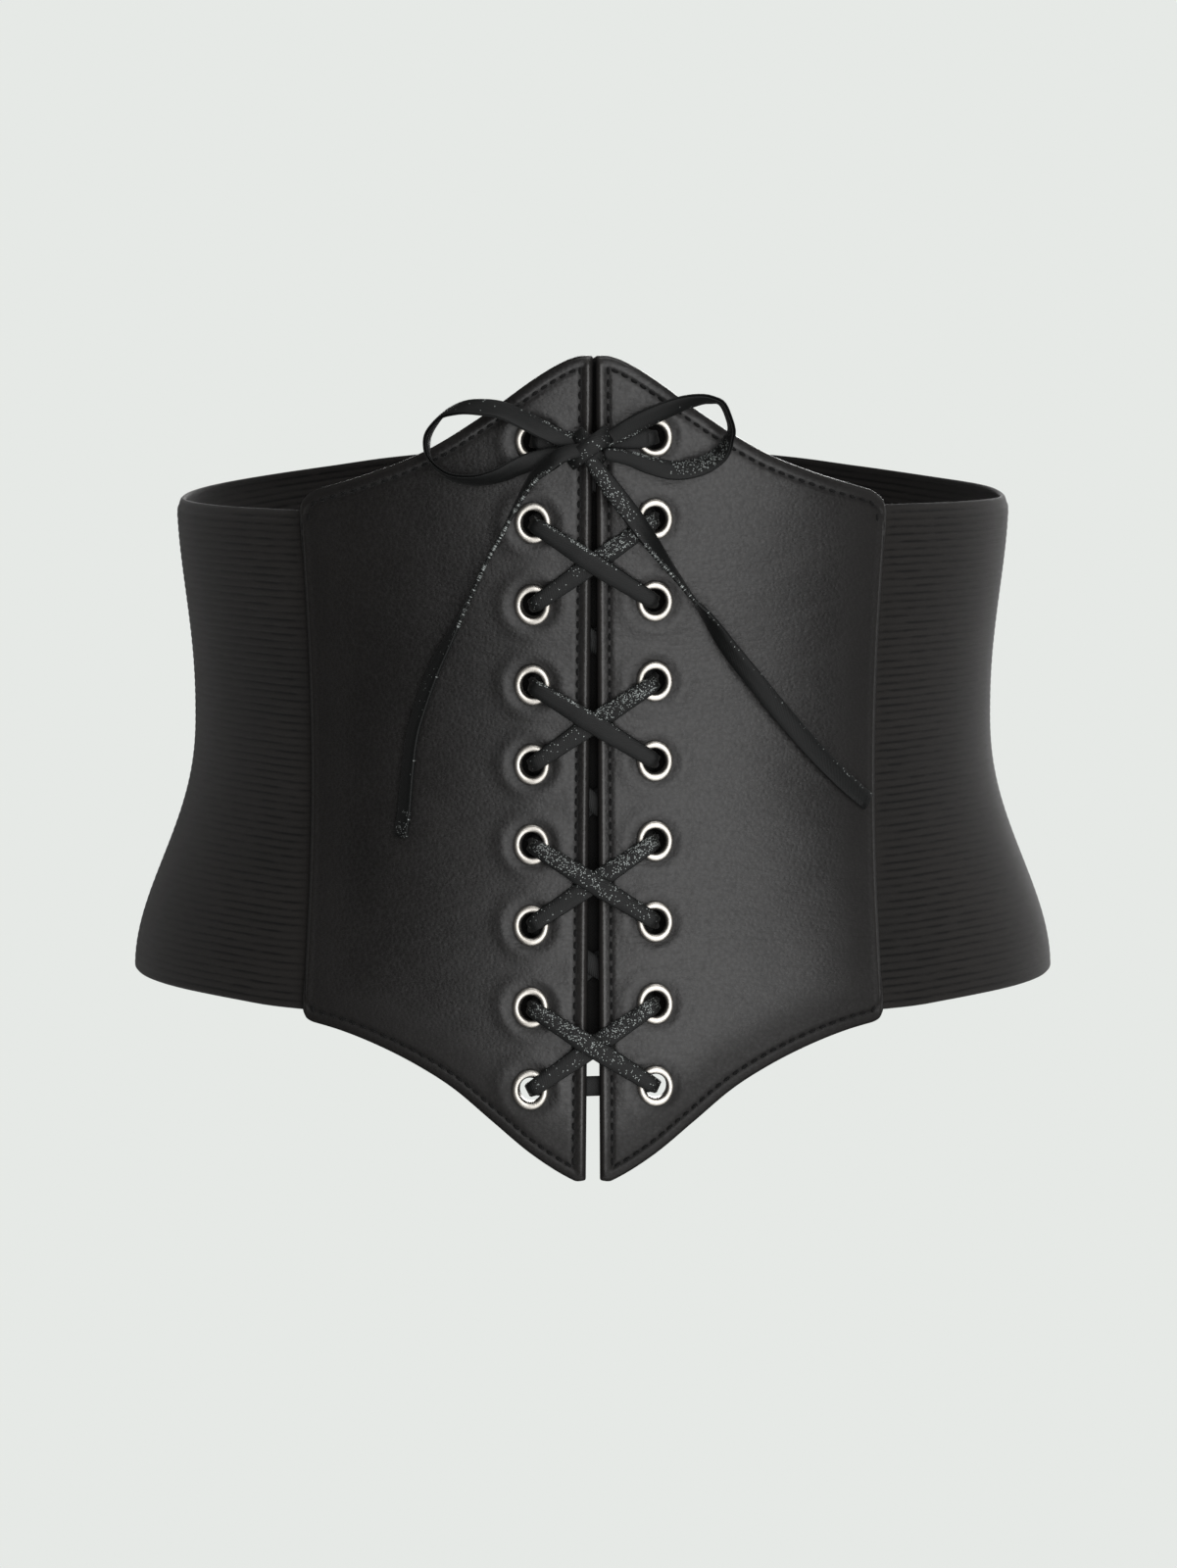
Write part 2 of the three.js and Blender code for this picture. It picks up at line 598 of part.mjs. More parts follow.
// Elastic: half of the band, from its side seam, where it is tucked behind the panel, to the centre back
function elasticGeometry(sign) {
  const top = sign < 0 ? 'topLeft' : 'topRight';
  const place = (s, t, face) => {
    const level = lerp(-BAND_BELOW_WAIST, BAND_ABOVE_WAIST, t);
    const half = halfSizes(level);
    const end = Math.acos(((sideSeam(level) - ELASTIC_TUCK) / half.width) ** (PLAN_POWER / 2));
    const centreBack = Math.PI / 2 - CLEARANCE / 2 / half.width;
    const point = onRing(lerp(-end, centreBack, s), level, -face * ELASTIC_WALL);
    const across = s / 2;
    const rise = lerp(readTable(BAND_EDGES, 'bottom', across), readTable(BAND_EDGES, top, across), t);
    return new THREE.Vector3(sign * point.x, point.y, point.z + BACK_RISE * rise);
  };
  return wallGeometry(shares(BAND_SPANS.round), shares(BAND_SPANS.up), place);
}

for (const [name, side] of Object.entries(SIDES)) {
  addPiece(`panel_${name}`, panelGeometry(side), COLOURS.leather);
}
for (const [name, side] of Object.entries(SIDES)) {
  addPiece(`elastic_${name}`, elasticGeometry(side.sign), COLOURS.elastic);
}
addPiece('backing_strip', stripGeometry(), COLOURS.strip);

for (const [name, side] of Object.entries(SIDES)) {
  for (let row = 0; row < EYELET_ROWS; row++) {
    const place = eyeletPlace(side, row);
    const eyelet = addPiece(`eyelet_${name}_${row + 1}`, eyeletGeometry(), COLOURS.metal);
    eyelet.position.copy(onFront(place.x, place.z, 0));
    eyelet.quaternion.copy(outwardTurn(place));
  }
}

// The lace is one length: its strands end at the knot's surface
const knotRoom = toSolid(knotGeometry(CLEARANCE));
addPiece('knot', knotGeometry(0), COLOURS.lace);
const lacing = toSolid(ribbonGeometry(lacingStations(), HELD_SECTION)).subtract(knotRoom);
addPiece('lacing', toGeometry(lacing), COLOURS.lace);
for (const [name, route] of Object.entries(LACE_ROUTES)) {
  const strand = toSolid(ribbonGeometry(freeStations(route), FREE_SECTION)).subtract(knotRoom);
  addPiece(name, toGeometry(strand), COLOURS.lace);
}

export default group;
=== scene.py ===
import math

import bmesh
import bpy
from mathutils import Matrix, Vector, noise


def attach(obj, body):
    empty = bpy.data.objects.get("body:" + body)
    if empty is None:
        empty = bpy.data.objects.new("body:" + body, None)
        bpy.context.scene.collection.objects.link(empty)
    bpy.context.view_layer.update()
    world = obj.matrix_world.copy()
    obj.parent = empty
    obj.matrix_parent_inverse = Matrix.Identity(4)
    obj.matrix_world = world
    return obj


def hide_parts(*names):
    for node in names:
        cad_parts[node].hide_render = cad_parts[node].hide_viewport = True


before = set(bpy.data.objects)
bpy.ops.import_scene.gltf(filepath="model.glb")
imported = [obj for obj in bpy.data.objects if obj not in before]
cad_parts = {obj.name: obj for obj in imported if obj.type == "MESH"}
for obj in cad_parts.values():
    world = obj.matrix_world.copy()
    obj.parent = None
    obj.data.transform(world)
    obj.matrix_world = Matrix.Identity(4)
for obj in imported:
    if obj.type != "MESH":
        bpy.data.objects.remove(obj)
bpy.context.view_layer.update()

# Sizes are written in millimetres, as a maker reads them, and leave the helpers below in metres
mm = 0.001

# The picture: the camera stands level with the top of the belt and looks slightly down
cameraPlace = {"side": -1.2, "front": -1200, "height": 103, "pitch": 5.953, "lens": 97.74, "sensor": 36}
cameraData = bpy.data.cameras.new("camera")
cameraData.lens = cameraPlace["lens"]
cameraData.sensor_width = cameraPlace["sensor"]
camera = bpy.data.objects.new("camera", cameraData)
camera.location = Vector((cameraPlace["side"], cameraPlace["front"], cameraPlace["height"])) * mm
camera.rotation_euler = (math.radians(90 - cameraPlace["pitch"]), 0, 0)
bpy.context.scene.collection.objects.link(camera)
bpy.context.scene.camera = camera

# The waist: half sizes at its narrowest level and what the top edge and the hips add
waist = {
    "halfWidth": 112, "halfDepth": 84, "topWidth": 4.6, "topDepth": 4, "hipWidth": 17.7, "hipDepth": 9,
    "above": 58, "below": 72.5, "depthReach": 96, "planPower": 2.2, "topPower": 1.2, "hipPower": 1.33,
}


def mix(a, b, share):
    return a + (b - a) * share


def smooth(share):
    share = min(max(share, 0), 1)
    return share * share * (3 - 2 * share)


def hump(distance, width):
    return math.exp(-(distance / width) ** 2)


def halfSizes(z):
    top = smooth(z / waist["above"]) ** waist["topPower"]
    hip = smooth(-z / waist["below"]) ** waist["hipPower"]
    belly = smooth(-z / waist["depthReach"]) ** waist["hipPower"]
    halfWidth = waist["halfWidth"] + waist["topWidth"] * top + waist["hipWidth"] * hip
    halfDepth = waist["halfDepth"] + waist["topDepth"] * top + waist["hipDepth"] * belly
    return halfWidth, halfDepth


def frontDepth(x, z):
    halfWidth, halfDepth = halfSizes(z)
    power = waist["planPower"]
    return -halfDepth * (1 - abs(x / halfWidth) ** power) ** (1 / power)


def frontNormal(x, z, step=0.5):
    slopeX = (frontDepth(x + step, z) - frontDepth(x - step, z)) / (2 * step)
    slopeZ = (frontDepth(x, z + step) - frontDepth(x, z - step)) / (2 * step)
    return Vector((slopeX, -1, slopeZ)).normalized()


def onFront(x, z, out):
    # A point of the front, out millimetres outside the form
    return (Vector((x, frontDepth(x, z), z)) + frontNormal(x, z) * out) * mm


def onRing(angle, z, out, rise=0):
    # A point all round the form: angle 0 is +X and a right angle is the back
    halfWidth, halfDepth = halfSizes(z)
    power = waist["planPower"]
    c, s = math.cos(angle), math.sin(angle)
    x = math.copysign(abs(c) ** (2 / power), c)
    y = math.copysign(abs(s) ** (2 / power), s)
    normal = Vector((
        math.copysign(abs(x) ** (power - 1), x) / halfWidth,
        math.copysign(abs(y) ** (power - 1), y) / halfDepth,
        0,
    )).normalized()
    return (Vector((x * halfWidth, y * halfDepth, z + rise)) + normal * out) * mm


def readRows(rows, across):
    # A smooth curve through rows of (across, value)
    last = len(rows) - 1
    i = max(k for k in range(last) if rows[k][0] <= across or k == 0)

    def slopeAt(k):
        before, after = rows[max(k - 1, 0)], rows[min(k + 1, last)]
        return (after[1] - before[1]) / (after[0] - before[0])

    span = rows[i + 1][0] - rows[i][0]
    u = (across - rows[i][0]) / span
    level = mix(rows[i][1], rows[i + 1][1], u * u * (3 - 2 * u))
    return level + span * (u * (1 - u) ** 2 * slopeAt(i) - u * u * (1 - u) * slopeAt(i + 1))


# Front panels: outline, rolled and stitched border, raised edge at the side seam, and dull leather with
# painted shade inside it
panel = {
    "width": 74.8, "inner": 0.3, "outer": 2.6, "edgeFlare": 2.4, "narrowestZ": -10,
    "peak": 41, "tip": 45, "outerCorner": 5.5, "lowerCorner": 3.4, "innerCorner": 0.6,
    "topRows": [(0, 1), (0.05, 0.995), (0.11, 0.948), (0.2, 0.84), (0.3, 0.7), (0.4, 0.57),
                (0.5, 0.452), (0.6, 0.355), (0.74, 0.255), (0.88, 0.172), (1, 0.11)],
    "bottomRows": [(0, 1), (0.04, 1), (0.18, 0.85), (0.32, 0.653), (0.45, 0.472), (0.58, 0.34),
                   (0.72, 0.232), (0.86, 0.152), (1, 0.1)],
    "roll": 0.9, "innerRoll": 0.2, "thinnest": 0.5,
    "beadWidth": 3.3, "borderHeight": 0.22, "borderDrop": 0.8, "borderPower": 1.3,
    "pipingFrom": 1.35, "pipingWidth": 0.75, "pipingHeight": 0.5, "grooveDepth": 0.32, "grooveWidth": 0.5,
    "ridgeFrom": 1.6, "ridgeWidth": 0.55, "ridgeHeight": 0.3, "sideDrop": 0.9, "sideSlope": 2.2,
    "dullShadeFrom": 3, "dullShadeWidth": 5.5, "wrinkle": 0.2,
}
# The leather round an eyelet, by millimetres from its axis: a hollow, a low rim outside it, and a ring of
# painted shade
pucker = {
    "hollowFrom": 4.6, "hollowWidth": 1.4, "hollowDepth": 0.52,
    "rimFrom": 7.6, "rimWidth": 1.9, "rimHeight": 0.34, "shadeFrom": 4.4, "shadeWidth": 1.7, "reach": 16,
}
# What differs between the two panels, with each pair of values for the tip and the peak
sides = {
    "left": {"sign": -1, "edges": (1.9, 0), "eyelets": (16.5, 15.2), "lift": 0},
    "right": {"sign": 1, "edges": (1.8, 0.55), "eyelets": (16.4, 15.8), "lift": 1},
}
# Eyelets: pairs of metal rings, a little taller than wide, and the drill that cuts their holes
eyelet = {
    "rows": 9, "topZ": 76.9, "pitch": 21.25, "hole": 2.9, "tubeWall": 0.5,
    "flange": 4.55, "backFlange": 4.3, "frontHeight": 0.85, "backHeight": 0.55, "clearance": 0.3,
    "tall": 1.12, "drillGap": 0.15, "drillCentre": 1.4, "drillLength": 9,
}
peakZ = waist["above"] + panel["peak"]
tipZ = -waist["below"] - panel["tip"]


def cornerCut(distance, radius):
    inside = max(radius - distance, 0)
    return radius - math.sqrt(radius * radius - inside * inside)


def cornersAt(across, outerCorner):
    outerCut = cornerCut((1 - across) * panel["width"], outerCorner)
    return outerCut + cornerCut(across * panel["width"], panel["innerCorner"])


def panelTop(across):
    rise = panel["peak"] * readRows(panel["topRows"], across)
    return waist["above"] + rise - cornersAt(across, panel["outerCorner"])


def panelBottom(across):
    drop = panel["tip"] * readRows(panel["bottomRows"], across)
    return -waist["below"] - drop + cornersAt(across, panel["lowerCorner"])


def innerEdge(side, z):
    return mix(*side["edges"], (z - tipZ) / (peakZ - tipZ))


def sideSeam(z):
    away = (z - panel["narrowestZ"]) / (waist["above"] - panel["narrowestZ"])
    return panel["width"] + panel["edgeFlare"] * away * away


def eyeletPlace(side, row):
    z = eyelet["topZ"] - eyelet["pitch"] * row + side["lift"]
    return side["sign"] * mix(*side["eyelets"], (z - tipZ) / (peakZ - tipZ)), z


def frontMatrix(x, z, out):
    # Local z points out of the form and local x runs level round it
    normal = frontNormal(x, z)
    level = Vector((0, 0, 1)).cross(normal).normalized()
    upward = normal.cross(level)
    turn = Matrix((level, upward, normal)).transposed().to_4x4()
    return Matrix.Translation(onFront(x, z, out)) @ turn


class Wire:
    # One output socket of a finish. Arithmetic on it adds Math nodes.
    def __init__(self, finish, socket):
        self.finish, self.socket = finish, socket

    def math(self, operation, first, second=0.0):
        return self.finish.node("ShaderNodeMath", {"operation": operation}, {0: first, 1: second})

    def __add__(self, other):
        return self.math("ADD", self, other)

    def __radd__(self, other):
        return self.math("ADD", other, self)

    def __sub__(self, other):
        return self.math("SUBTRACT", self, other)

    def __rsub__(self, other):
        return self.math("SUBTRACT", other, self)

    def __mul__(self, other):
        return self.math("MULTIPLY", self, other)

    def __rmul__(self, other):
        return self.math("MULTIPLY", other, self)

    def __gt__(self, other):
        return self.math("GREATER_THAN", self, other)

    def __abs__(self):
        return self.math("ABSOLUTE", self)

    def sine(self):
        return self.math("SINE", self)


class Finish:
    # A material, its shader's constants, and the nodes that vary over the surface
    def __init__(self, name, **constants):
        self.material = bpy.data.materials.new(name)
        self.material.use_nodes = True
        self.tree = self.material.node_tree
        self.shader = self.tree.nodes["Principled BSDF"]
        for socket, value in constants.items():
            self.shader.inputs[socket.replace("_", " ")].default_value = value

    def plug(self, socket, value):
        if isinstance(value, Wire):
            self.tree.links.new(value.socket, socket)
        elif socket.type == "RGBA" and len(value) == 3:
            socket.default_value = (*value, 1)
        else:
            socket.default_value = value

    def node(self, kind, settings=None, sockets=None, output=0):
        made = self.tree.nodes.new(kind)
        for name, value in (settings or {}).items():
            if name == "stops":
                while len(made.color_ramp.elements) < len(value):
                    made.color_ramp.elements.new(1)
                for stop, (position, level) in zip(made.color_ramp.elements, value):
                    stop.position = position
                    stop.color = (level, level, level, 1)
            else:
                setattr(made, name, value)
        for key, value in (sockets or {}).items():
            self.plug(made.inputs[key], value)
        return Wire(self, made.outputs[output])

    def place(self, scale=(1, 1, 1)):
        where = self.node("ShaderNodeTexCoord", output="Object")
        return self.node("ShaderNodeMapping", {}, {"Vector": where, "Scale": scale})

    def attribute(self, name):
        return self.node("ShaderNodeAttribute", {"attribute_name": name}, output="Fac")

    def clouds(self, where, scale, detail=2, rough=0.5):
        return self.node("ShaderNodeTexNoise", {}, {
            "Vector": where, "Scale": scale, "Detail": detail, "Roughness": rough,
        })

    def cells(self, where, scale, output="Distance", feature="F1"):
        return self.node("ShaderNodeTexVoronoi", {"feature": feature}, {
            "Vector": where, "Scale": scale,
        }, output)

    def blend(self, share, a, b):
        return self.node("ShaderNodeMix", {"data_type": "RGBA"}, {0: share, 6: a, 7: b}, output=2)

    def ramp(self, value, *stops):
        return self.node("ShaderNodeValToRGB", {"stops": stops}, {0: value})

    def bump(self, height, distance, strength):
        return self.node("ShaderNodeBump", {}, {"Height": height, "Distance": distance, "Strength": strength})

    def feed(self, **outputs):
        for socket, value in outputs.items():
            self.plug(self.shader.inputs[socket.replace("_", " ")], value)
        return self.material


def leatherFinish(name, dark, light, roughness):
    # Coated leather: small rounded grain, fine level wrinkles, edges rubbed a little lighter, painted shade
    # in the stitch grooves and round the eyelets, and duller leather with painted shade beside the side seam
    # and bottom border
    finish = Finish(name, Coat_Weight=0.12, Coat_Roughness=0.28, Specular_IOR_Level=0.5)
    where = finish.place()
    grain = finish.cells(where, 1150, feature="SMOOTH_F1")
    fine = finish.clouds(where, 2600, 3, 0.6)
    wrinkles = finish.clouds(finish.place((0.35, 0.35, 1.6)), 330, 4, 0.62)
    patches = finish.clouds(where, 26, 3, 0.55)
    seam = finish.attribute("seam")
    rim = finish.attribute("rim")
    shade = finish.attribute("shade")
    dull = finish.attribute("dull")
    tone = finish.blend(finish.ramp(patches, (0.3, 0), (0.72, 1)), dark, light)
    worn = finish.blend(rim * (0.35 + 0.5 * patches), tone, (0.052, 0.049, 0.046))
    # Painted shade: the leather drawn darker and browner beside the side seam and above the bottom border
    edgeShaded = finish.blend(dull * 0.7, worn, (0.0042, 0.0032, 0.0026))
    # Painted shade: darker in the stitch grooves and in a ring round each eyelet
    shaded = finish.blend(seam * 0.3 + shade * 0.5, edgeShaded, (0.0012, 0.0011, 0.0011))
    height = grain * 0.5 + fine * 0.22 + wrinkles * 1.7
    pores = 0.16 * (fine - 0.5) + 0.2 * (grain - 0.35)
    return finish.feed(
        Base_Color=shaded,
        Roughness=roughness + pores + 0.3 * seam + 0.15 * shade + 0.25 * dull - 0.12 * rim,
        Normal=finish.bump(height, 0.0002, 0.6),
    )


def elasticFinish():
    # Ribbed elastic: painted shade in the valleys between the ribs, left out here and there where the knit
    # closes up
    finish = Finish("elasticKnit", Specular_IOR_Level=0.25, Sheen_Weight=0.24, Sheen_Roughness=0.45)
    crest = finish.attribute("crest")
    where = finish.place()
    breaks = finish.ramp(finish.clouds(finish.place((1, 1, 6)), 120, 3, 0.6), (0.4, 0), (0.56, 1))
    fuzz = finish.clouds(where, 2600, 3, 0.7)
    patches = finish.clouds(where, 34, 3, 0.5)
    # Painted shade in the valleys between the ribs, broken here and there
    groove = (1 - crest) * (0.35 + 0.65 * breaks)
    lighter = finish.ramp(patches, (0.3, 0), (0.75, 0.6))
    tone = finish.blend(lighter, (0.0175, 0.0162, 0.0152), (0.026, 0.023, 0.021))
    return finish.feed(
        Base_Color=finish.blend(groove, tone, (0.0012, 0.0012, 0.0012)),
        Roughness=0.72 + 0.2 * fuzz,
        Normal=finish.bump(fuzz - groove, 0.00015, 0.7),
    )


def metalFinish():
    # Bright nickel, turned, with a few duller spots
    finish = Finish("nickel", Metallic=1.0)
    scratches = finish.clouds(finish.place((1, 1, 0.2)), 1900, 4, 0.7)
    spots = finish.ramp(finish.clouds(finish.place(), 420, 3, 0.6), (0.45, 0), (0.85, 1))
    return finish.feed(
        Base_Color=finish.blend(spots, (0.7, 0.67, 0.62), (0.5, 0.47, 0.42)),
        Roughness=0.33 + 0.14 * scratches,
        Normal=finish.bump(scratches, 0.00002, 0.15),
    )


def laceFinish():
    # Satin lace: black, with silver yarn along one edge and, on its other face, in a dotted braid
    finish = Finish("satinLace", Specular_IOR_Level=0.34, Sheen_Weight=0.05, Sheen_Roughness=0.4)
    across = finish.attribute("across")
    along = finish.attribute("along")
    braid = finish.attribute("braid")
    flat = finish.node("ShaderNodeCombineXYZ", {}, {0: along, 1: across * 0.0025, 2: 0.0})
    flakes = finish.cells(flat, 2900)
    chance, tilt = (
        finish.node("ShaderNodeSeparateColor", {}, {0: finish.cells(flat, 2900, "Color")}, output=channel)
        for channel in (0, 2)
    )
    edge = finish.ramp(across, (0.6, 0), (0.7, 1))
    inside = finish.ramp(abs(across), (0.5, 1), (0.8, 0))
    patchy = finish.ramp(finish.clouds(flat, 420, 2, 0.5), (0.38, 0.25), (0.62, 1))
    likely = patchy * (edge * abs(braid) * 0.95 + finish.ramp(braid, (0, 0), (1, 0.75)) * inside)
    spark = (likely > chance) * finish.ramp(flakes, (0.4, 1), (0.55, 0))
    drawn = finish.node("ShaderNodeMapping", {}, {"Vector": flat, "Scale": (0.25, 1.6, 1)})
    satin = finish.clouds(drawn, 5200, 3, 0.6)
    twill = ((along + across * 0.0022) * (2 * math.pi / 0.0006)).sine()
    tone = finish.blend(satin, (0.0015, 0.0018, 0.0018), (0.006, 0.007, 0.0068))
    return finish.feed(
        Base_Color=finish.blend(spark, tone, (0.4, 0.43, 0.42)),
        Metallic=spark,
        Roughness=0.45 + 0.2 * satin,
        Normal=finish.bump(satin * 0.5 + twill * 0.2 + spark * tilt * 1.4, 0.00008, 0.8),
    )


def threadFinish():
    # Twisted black thread
    finish = Finish("thread", Specular_IOR_Level=0.25, Sheen_Weight=0.08)
    twist = finish.clouds(finish.place((1, 1, 1)), 4200, 2, 0.5)
    return finish.feed(
        Base_Color=finish.blend(twist, (0.0012, 0.0012, 0.0012), (0.006, 0.006, 0.006)),
        Roughness=0.6 + 0.25 * twist,
        Normal=finish.bump(twist, 0.0001, 0.6),
    )


def stripFinish():
    # Closely woven backing tape
    finish = Finish("backingTape", Specular_IOR_Level=0.2, Sheen_Weight=0.2)
    where = finish.node("ShaderNodeTexCoord", output="Object")
    level, upright = (
        (finish.node("ShaderNodeSeparateXYZ", {}, {0: where}, output=key) * (2 * math.pi / 0.0009)).sine()
        for key in ("X", "Z")
    )
    weave = level * upright
    lint = finish.clouds(where, 2400, 3, 0.6)
    return finish.feed(
        Base_Color=finish.blend(0.5 + 0.3 * weave, (0.003, 0.003, 0.003), (0.009, 0.0085, 0.008)),
        Roughness=0.8 + 0.15 * lint,
        Normal=finish.bump(weave * 0.5 + lint * 0.4, 0.00012, 0.7),
    )


finishes = {
    "leather": leatherFinish("coatedLeather", (0.0075, 0.007, 0.0068), (0.0145, 0.0135, 0.013), 0.4),
    "elastic": elasticFinish(),
    "metal": metalFinish(),
    "lace": laceFinish(),
    "thread": threadFinish(),
    "strip": stripFinish(),
}
print("finishes ready")


def addPiece(name, shape, finish, slot, *nodes):
    # Puts a modelled shape in the scene, in place of the CAD nodes that it stands for
    bmesh.ops.recalc_face_normals(shape, faces=shape.faces)
    mesh = bpy.data.meshes.new(name)
    shape.to_mesh(mesh)
    shape.free()
    mesh.shade_smooth()
    mesh.materials.append(finishes[finish])
    piece = bpy.data.objects.new(name, mesh)
    bpy.context.scene.collection.objects.link(piece)
    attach(piece, "root")
    if nodes:
        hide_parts(*nodes)
    return piece


# Lace: one flat satin lace, folded lengthwise where it is pulled tight
lace = {
    "width": 5, "thickness": 1.1, "bend": 0.45, "crossing": 1.1, "crossingWidth": 1.06, "eyeletWidth": 0.86,
    "holeWidth": 0.72, "holeThickness": 1.5, "knotWidth": 0.7, "knotThickness": 1.3, "gathered": 14,
}
# Outline of the folded lace, in shares of half its width and of its thickness
foldedSection = [
    (1, 0), (0.99, 0.3), (0.92, 0.47), (0.3, 0.56), (-0.3, 0.54), (-0.94, 0.46), (-1, 0.33), (-0.96, 0.2),
    (-0.1, 0.12), (0.66, 0.08), (0.74, 0), (0.66, -0.08), (-0.1, -0.12), (-0.92, -0.2), (-0.98, -0.33),
    (-0.9, -0.46), (-0.3, -0.54), (0.3, -0.54), (0.9, -0.48), (0.98, -0.32),
]
laceHalf = lace["thickness"] / 2
clear = eyelet["clearance"]
frontAtEyelet = panel["outer"] + clear + eyelet["frontHeight"] + clear + laceHalf
frontUnder = panel["outer"] + 2 * clear + laceHalf
frontOver = frontUnder + lace["thickness"] + 2 * clear
backAtEyelet = panel["inner"] - clear - eyelet["backHeight"] - clear - laceHalf
backUnder = panel["inner"] - 2 * clear - laceHalf
backOver = backUnder - lace["thickness"] - 2 * clear
stripOuter = backOver - laceHalf - clear


def curveThrough(rows, steps):
    # Centripetal curve through rows of numbers, steps spans between each two
    rows = [Vector(row) for row in rows]
    rows = [2 * rows[0] - rows[1], *rows, 2 * rows[-1] - rows[-2]]
    found = []
    for p0, p1, p2, p3 in zip(rows, rows[1:], rows[2:], rows[3:]):
        gaps = [max((b - a).length, 1e-6) ** 0.5 for a, b in ((p0, p1), (p1, p2), (p2, p3))]
        t0, t1, t2, t3 = 0, gaps[0], gaps[0] + gaps[1], sum(gaps)
        for k in range(steps):
            t = mix(t1, t2, k / steps)
            a1 = p0 * ((t1 - t) / (t1 - t0)) + p1 * ((t - t0) / (t1 - t0))
            a2 = p1 * ((t2 - t) / (t2 - t1)) + p2 * ((t - t1) / (t2 - t1))
            a3 = p2 * ((t3 - t) / (t3 - t2)) + p3 * ((t - t2) / (t3 - t2))
            b1 = a1 * ((t2 - t) / (t2 - t0)) + a2 * ((t - t0) / (t2 - t0))
            b2 = a2 * ((t3 - t) / (t3 - t1)) + a3 * ((t - t1) / (t3 - t1))
            found.append(b1 * ((t2 - t) / (t2 - t1)) + b2 * ((t - t1) / (t2 - t1)))
    return [*found, rows[-2]]


def laceMatrices(stations):
    # One matrix for each station: x across the lace, y out of its face, z along it
    found = []
    side = None
    for i, station in enumerate(stations):
        before, after = stations[max(i - 1, 0)]["point"], stations[min(i + 1, len(stations) - 1)]["point"]
        ahead = (after - before).normalized()
        width = station["width"] - ahead * station["width"].dot(ahead)
        width.normalize()
        if side and width.dot(side) < 0:
            width.negate()
        side = width
        face = ahead.cross(width)
        turn = Matrix((width * station["wide"], face * station["thick"], ahead)).transposed().to_4x4()
        found.append(Matrix.Translation(station["point"]) @ turn)
    return found


def sweepLace(shape, stations):
    # Draws the lace's section along its stations
    layers = shape.verts.layers.float
    across, along, braid = (layers.get(name) or layers.new(name) for name in ("across", "along", "braid"))
    matrices = laceMatrices(stations)
    ring = []
    for a, h in foldedSection:
        vert = shape.verts.new((a * lace["width"] / 2 * mm, h * lace["thickness"] * mm, 0))
        vert[across] = a
        vert[braid] = stations[0]["braid"]
        ring.append(vert)
    edges = [shape.edges.new((ring[i - 1], ring[i])) for i in range(len(ring))]
    firstEdges = list(edges)
    bmesh.ops.transform(shape, matrix=matrices[0], verts=ring)
    distance = 0
    for i in range(1, len(stations)):
        made = bmesh.ops.extrude_edge_only(shape, edges=edges)["geom"]
        verts = [part for part in made if isinstance(part, bmesh.types.BMVert)]
        fresh = set(verts)
        edges = [part for part in made if isinstance(part, bmesh.types.BMEdge) and set(part.verts) <= fresh]
        bmesh.ops.transform(shape, matrix=matrices[i] @ matrices[i - 1].inverted(), verts=verts)
        distance += (stations[i]["point"] - stations[i - 1]["point"]).length
        for vert in verts:
            vert[along] = distance
            vert[braid] = stations[i]["braid"]
    bmesh.ops.contextual_create(shape, geom=firstEdges)
    bmesh.ops.contextual_create(shape, geom=edges)
    return shape


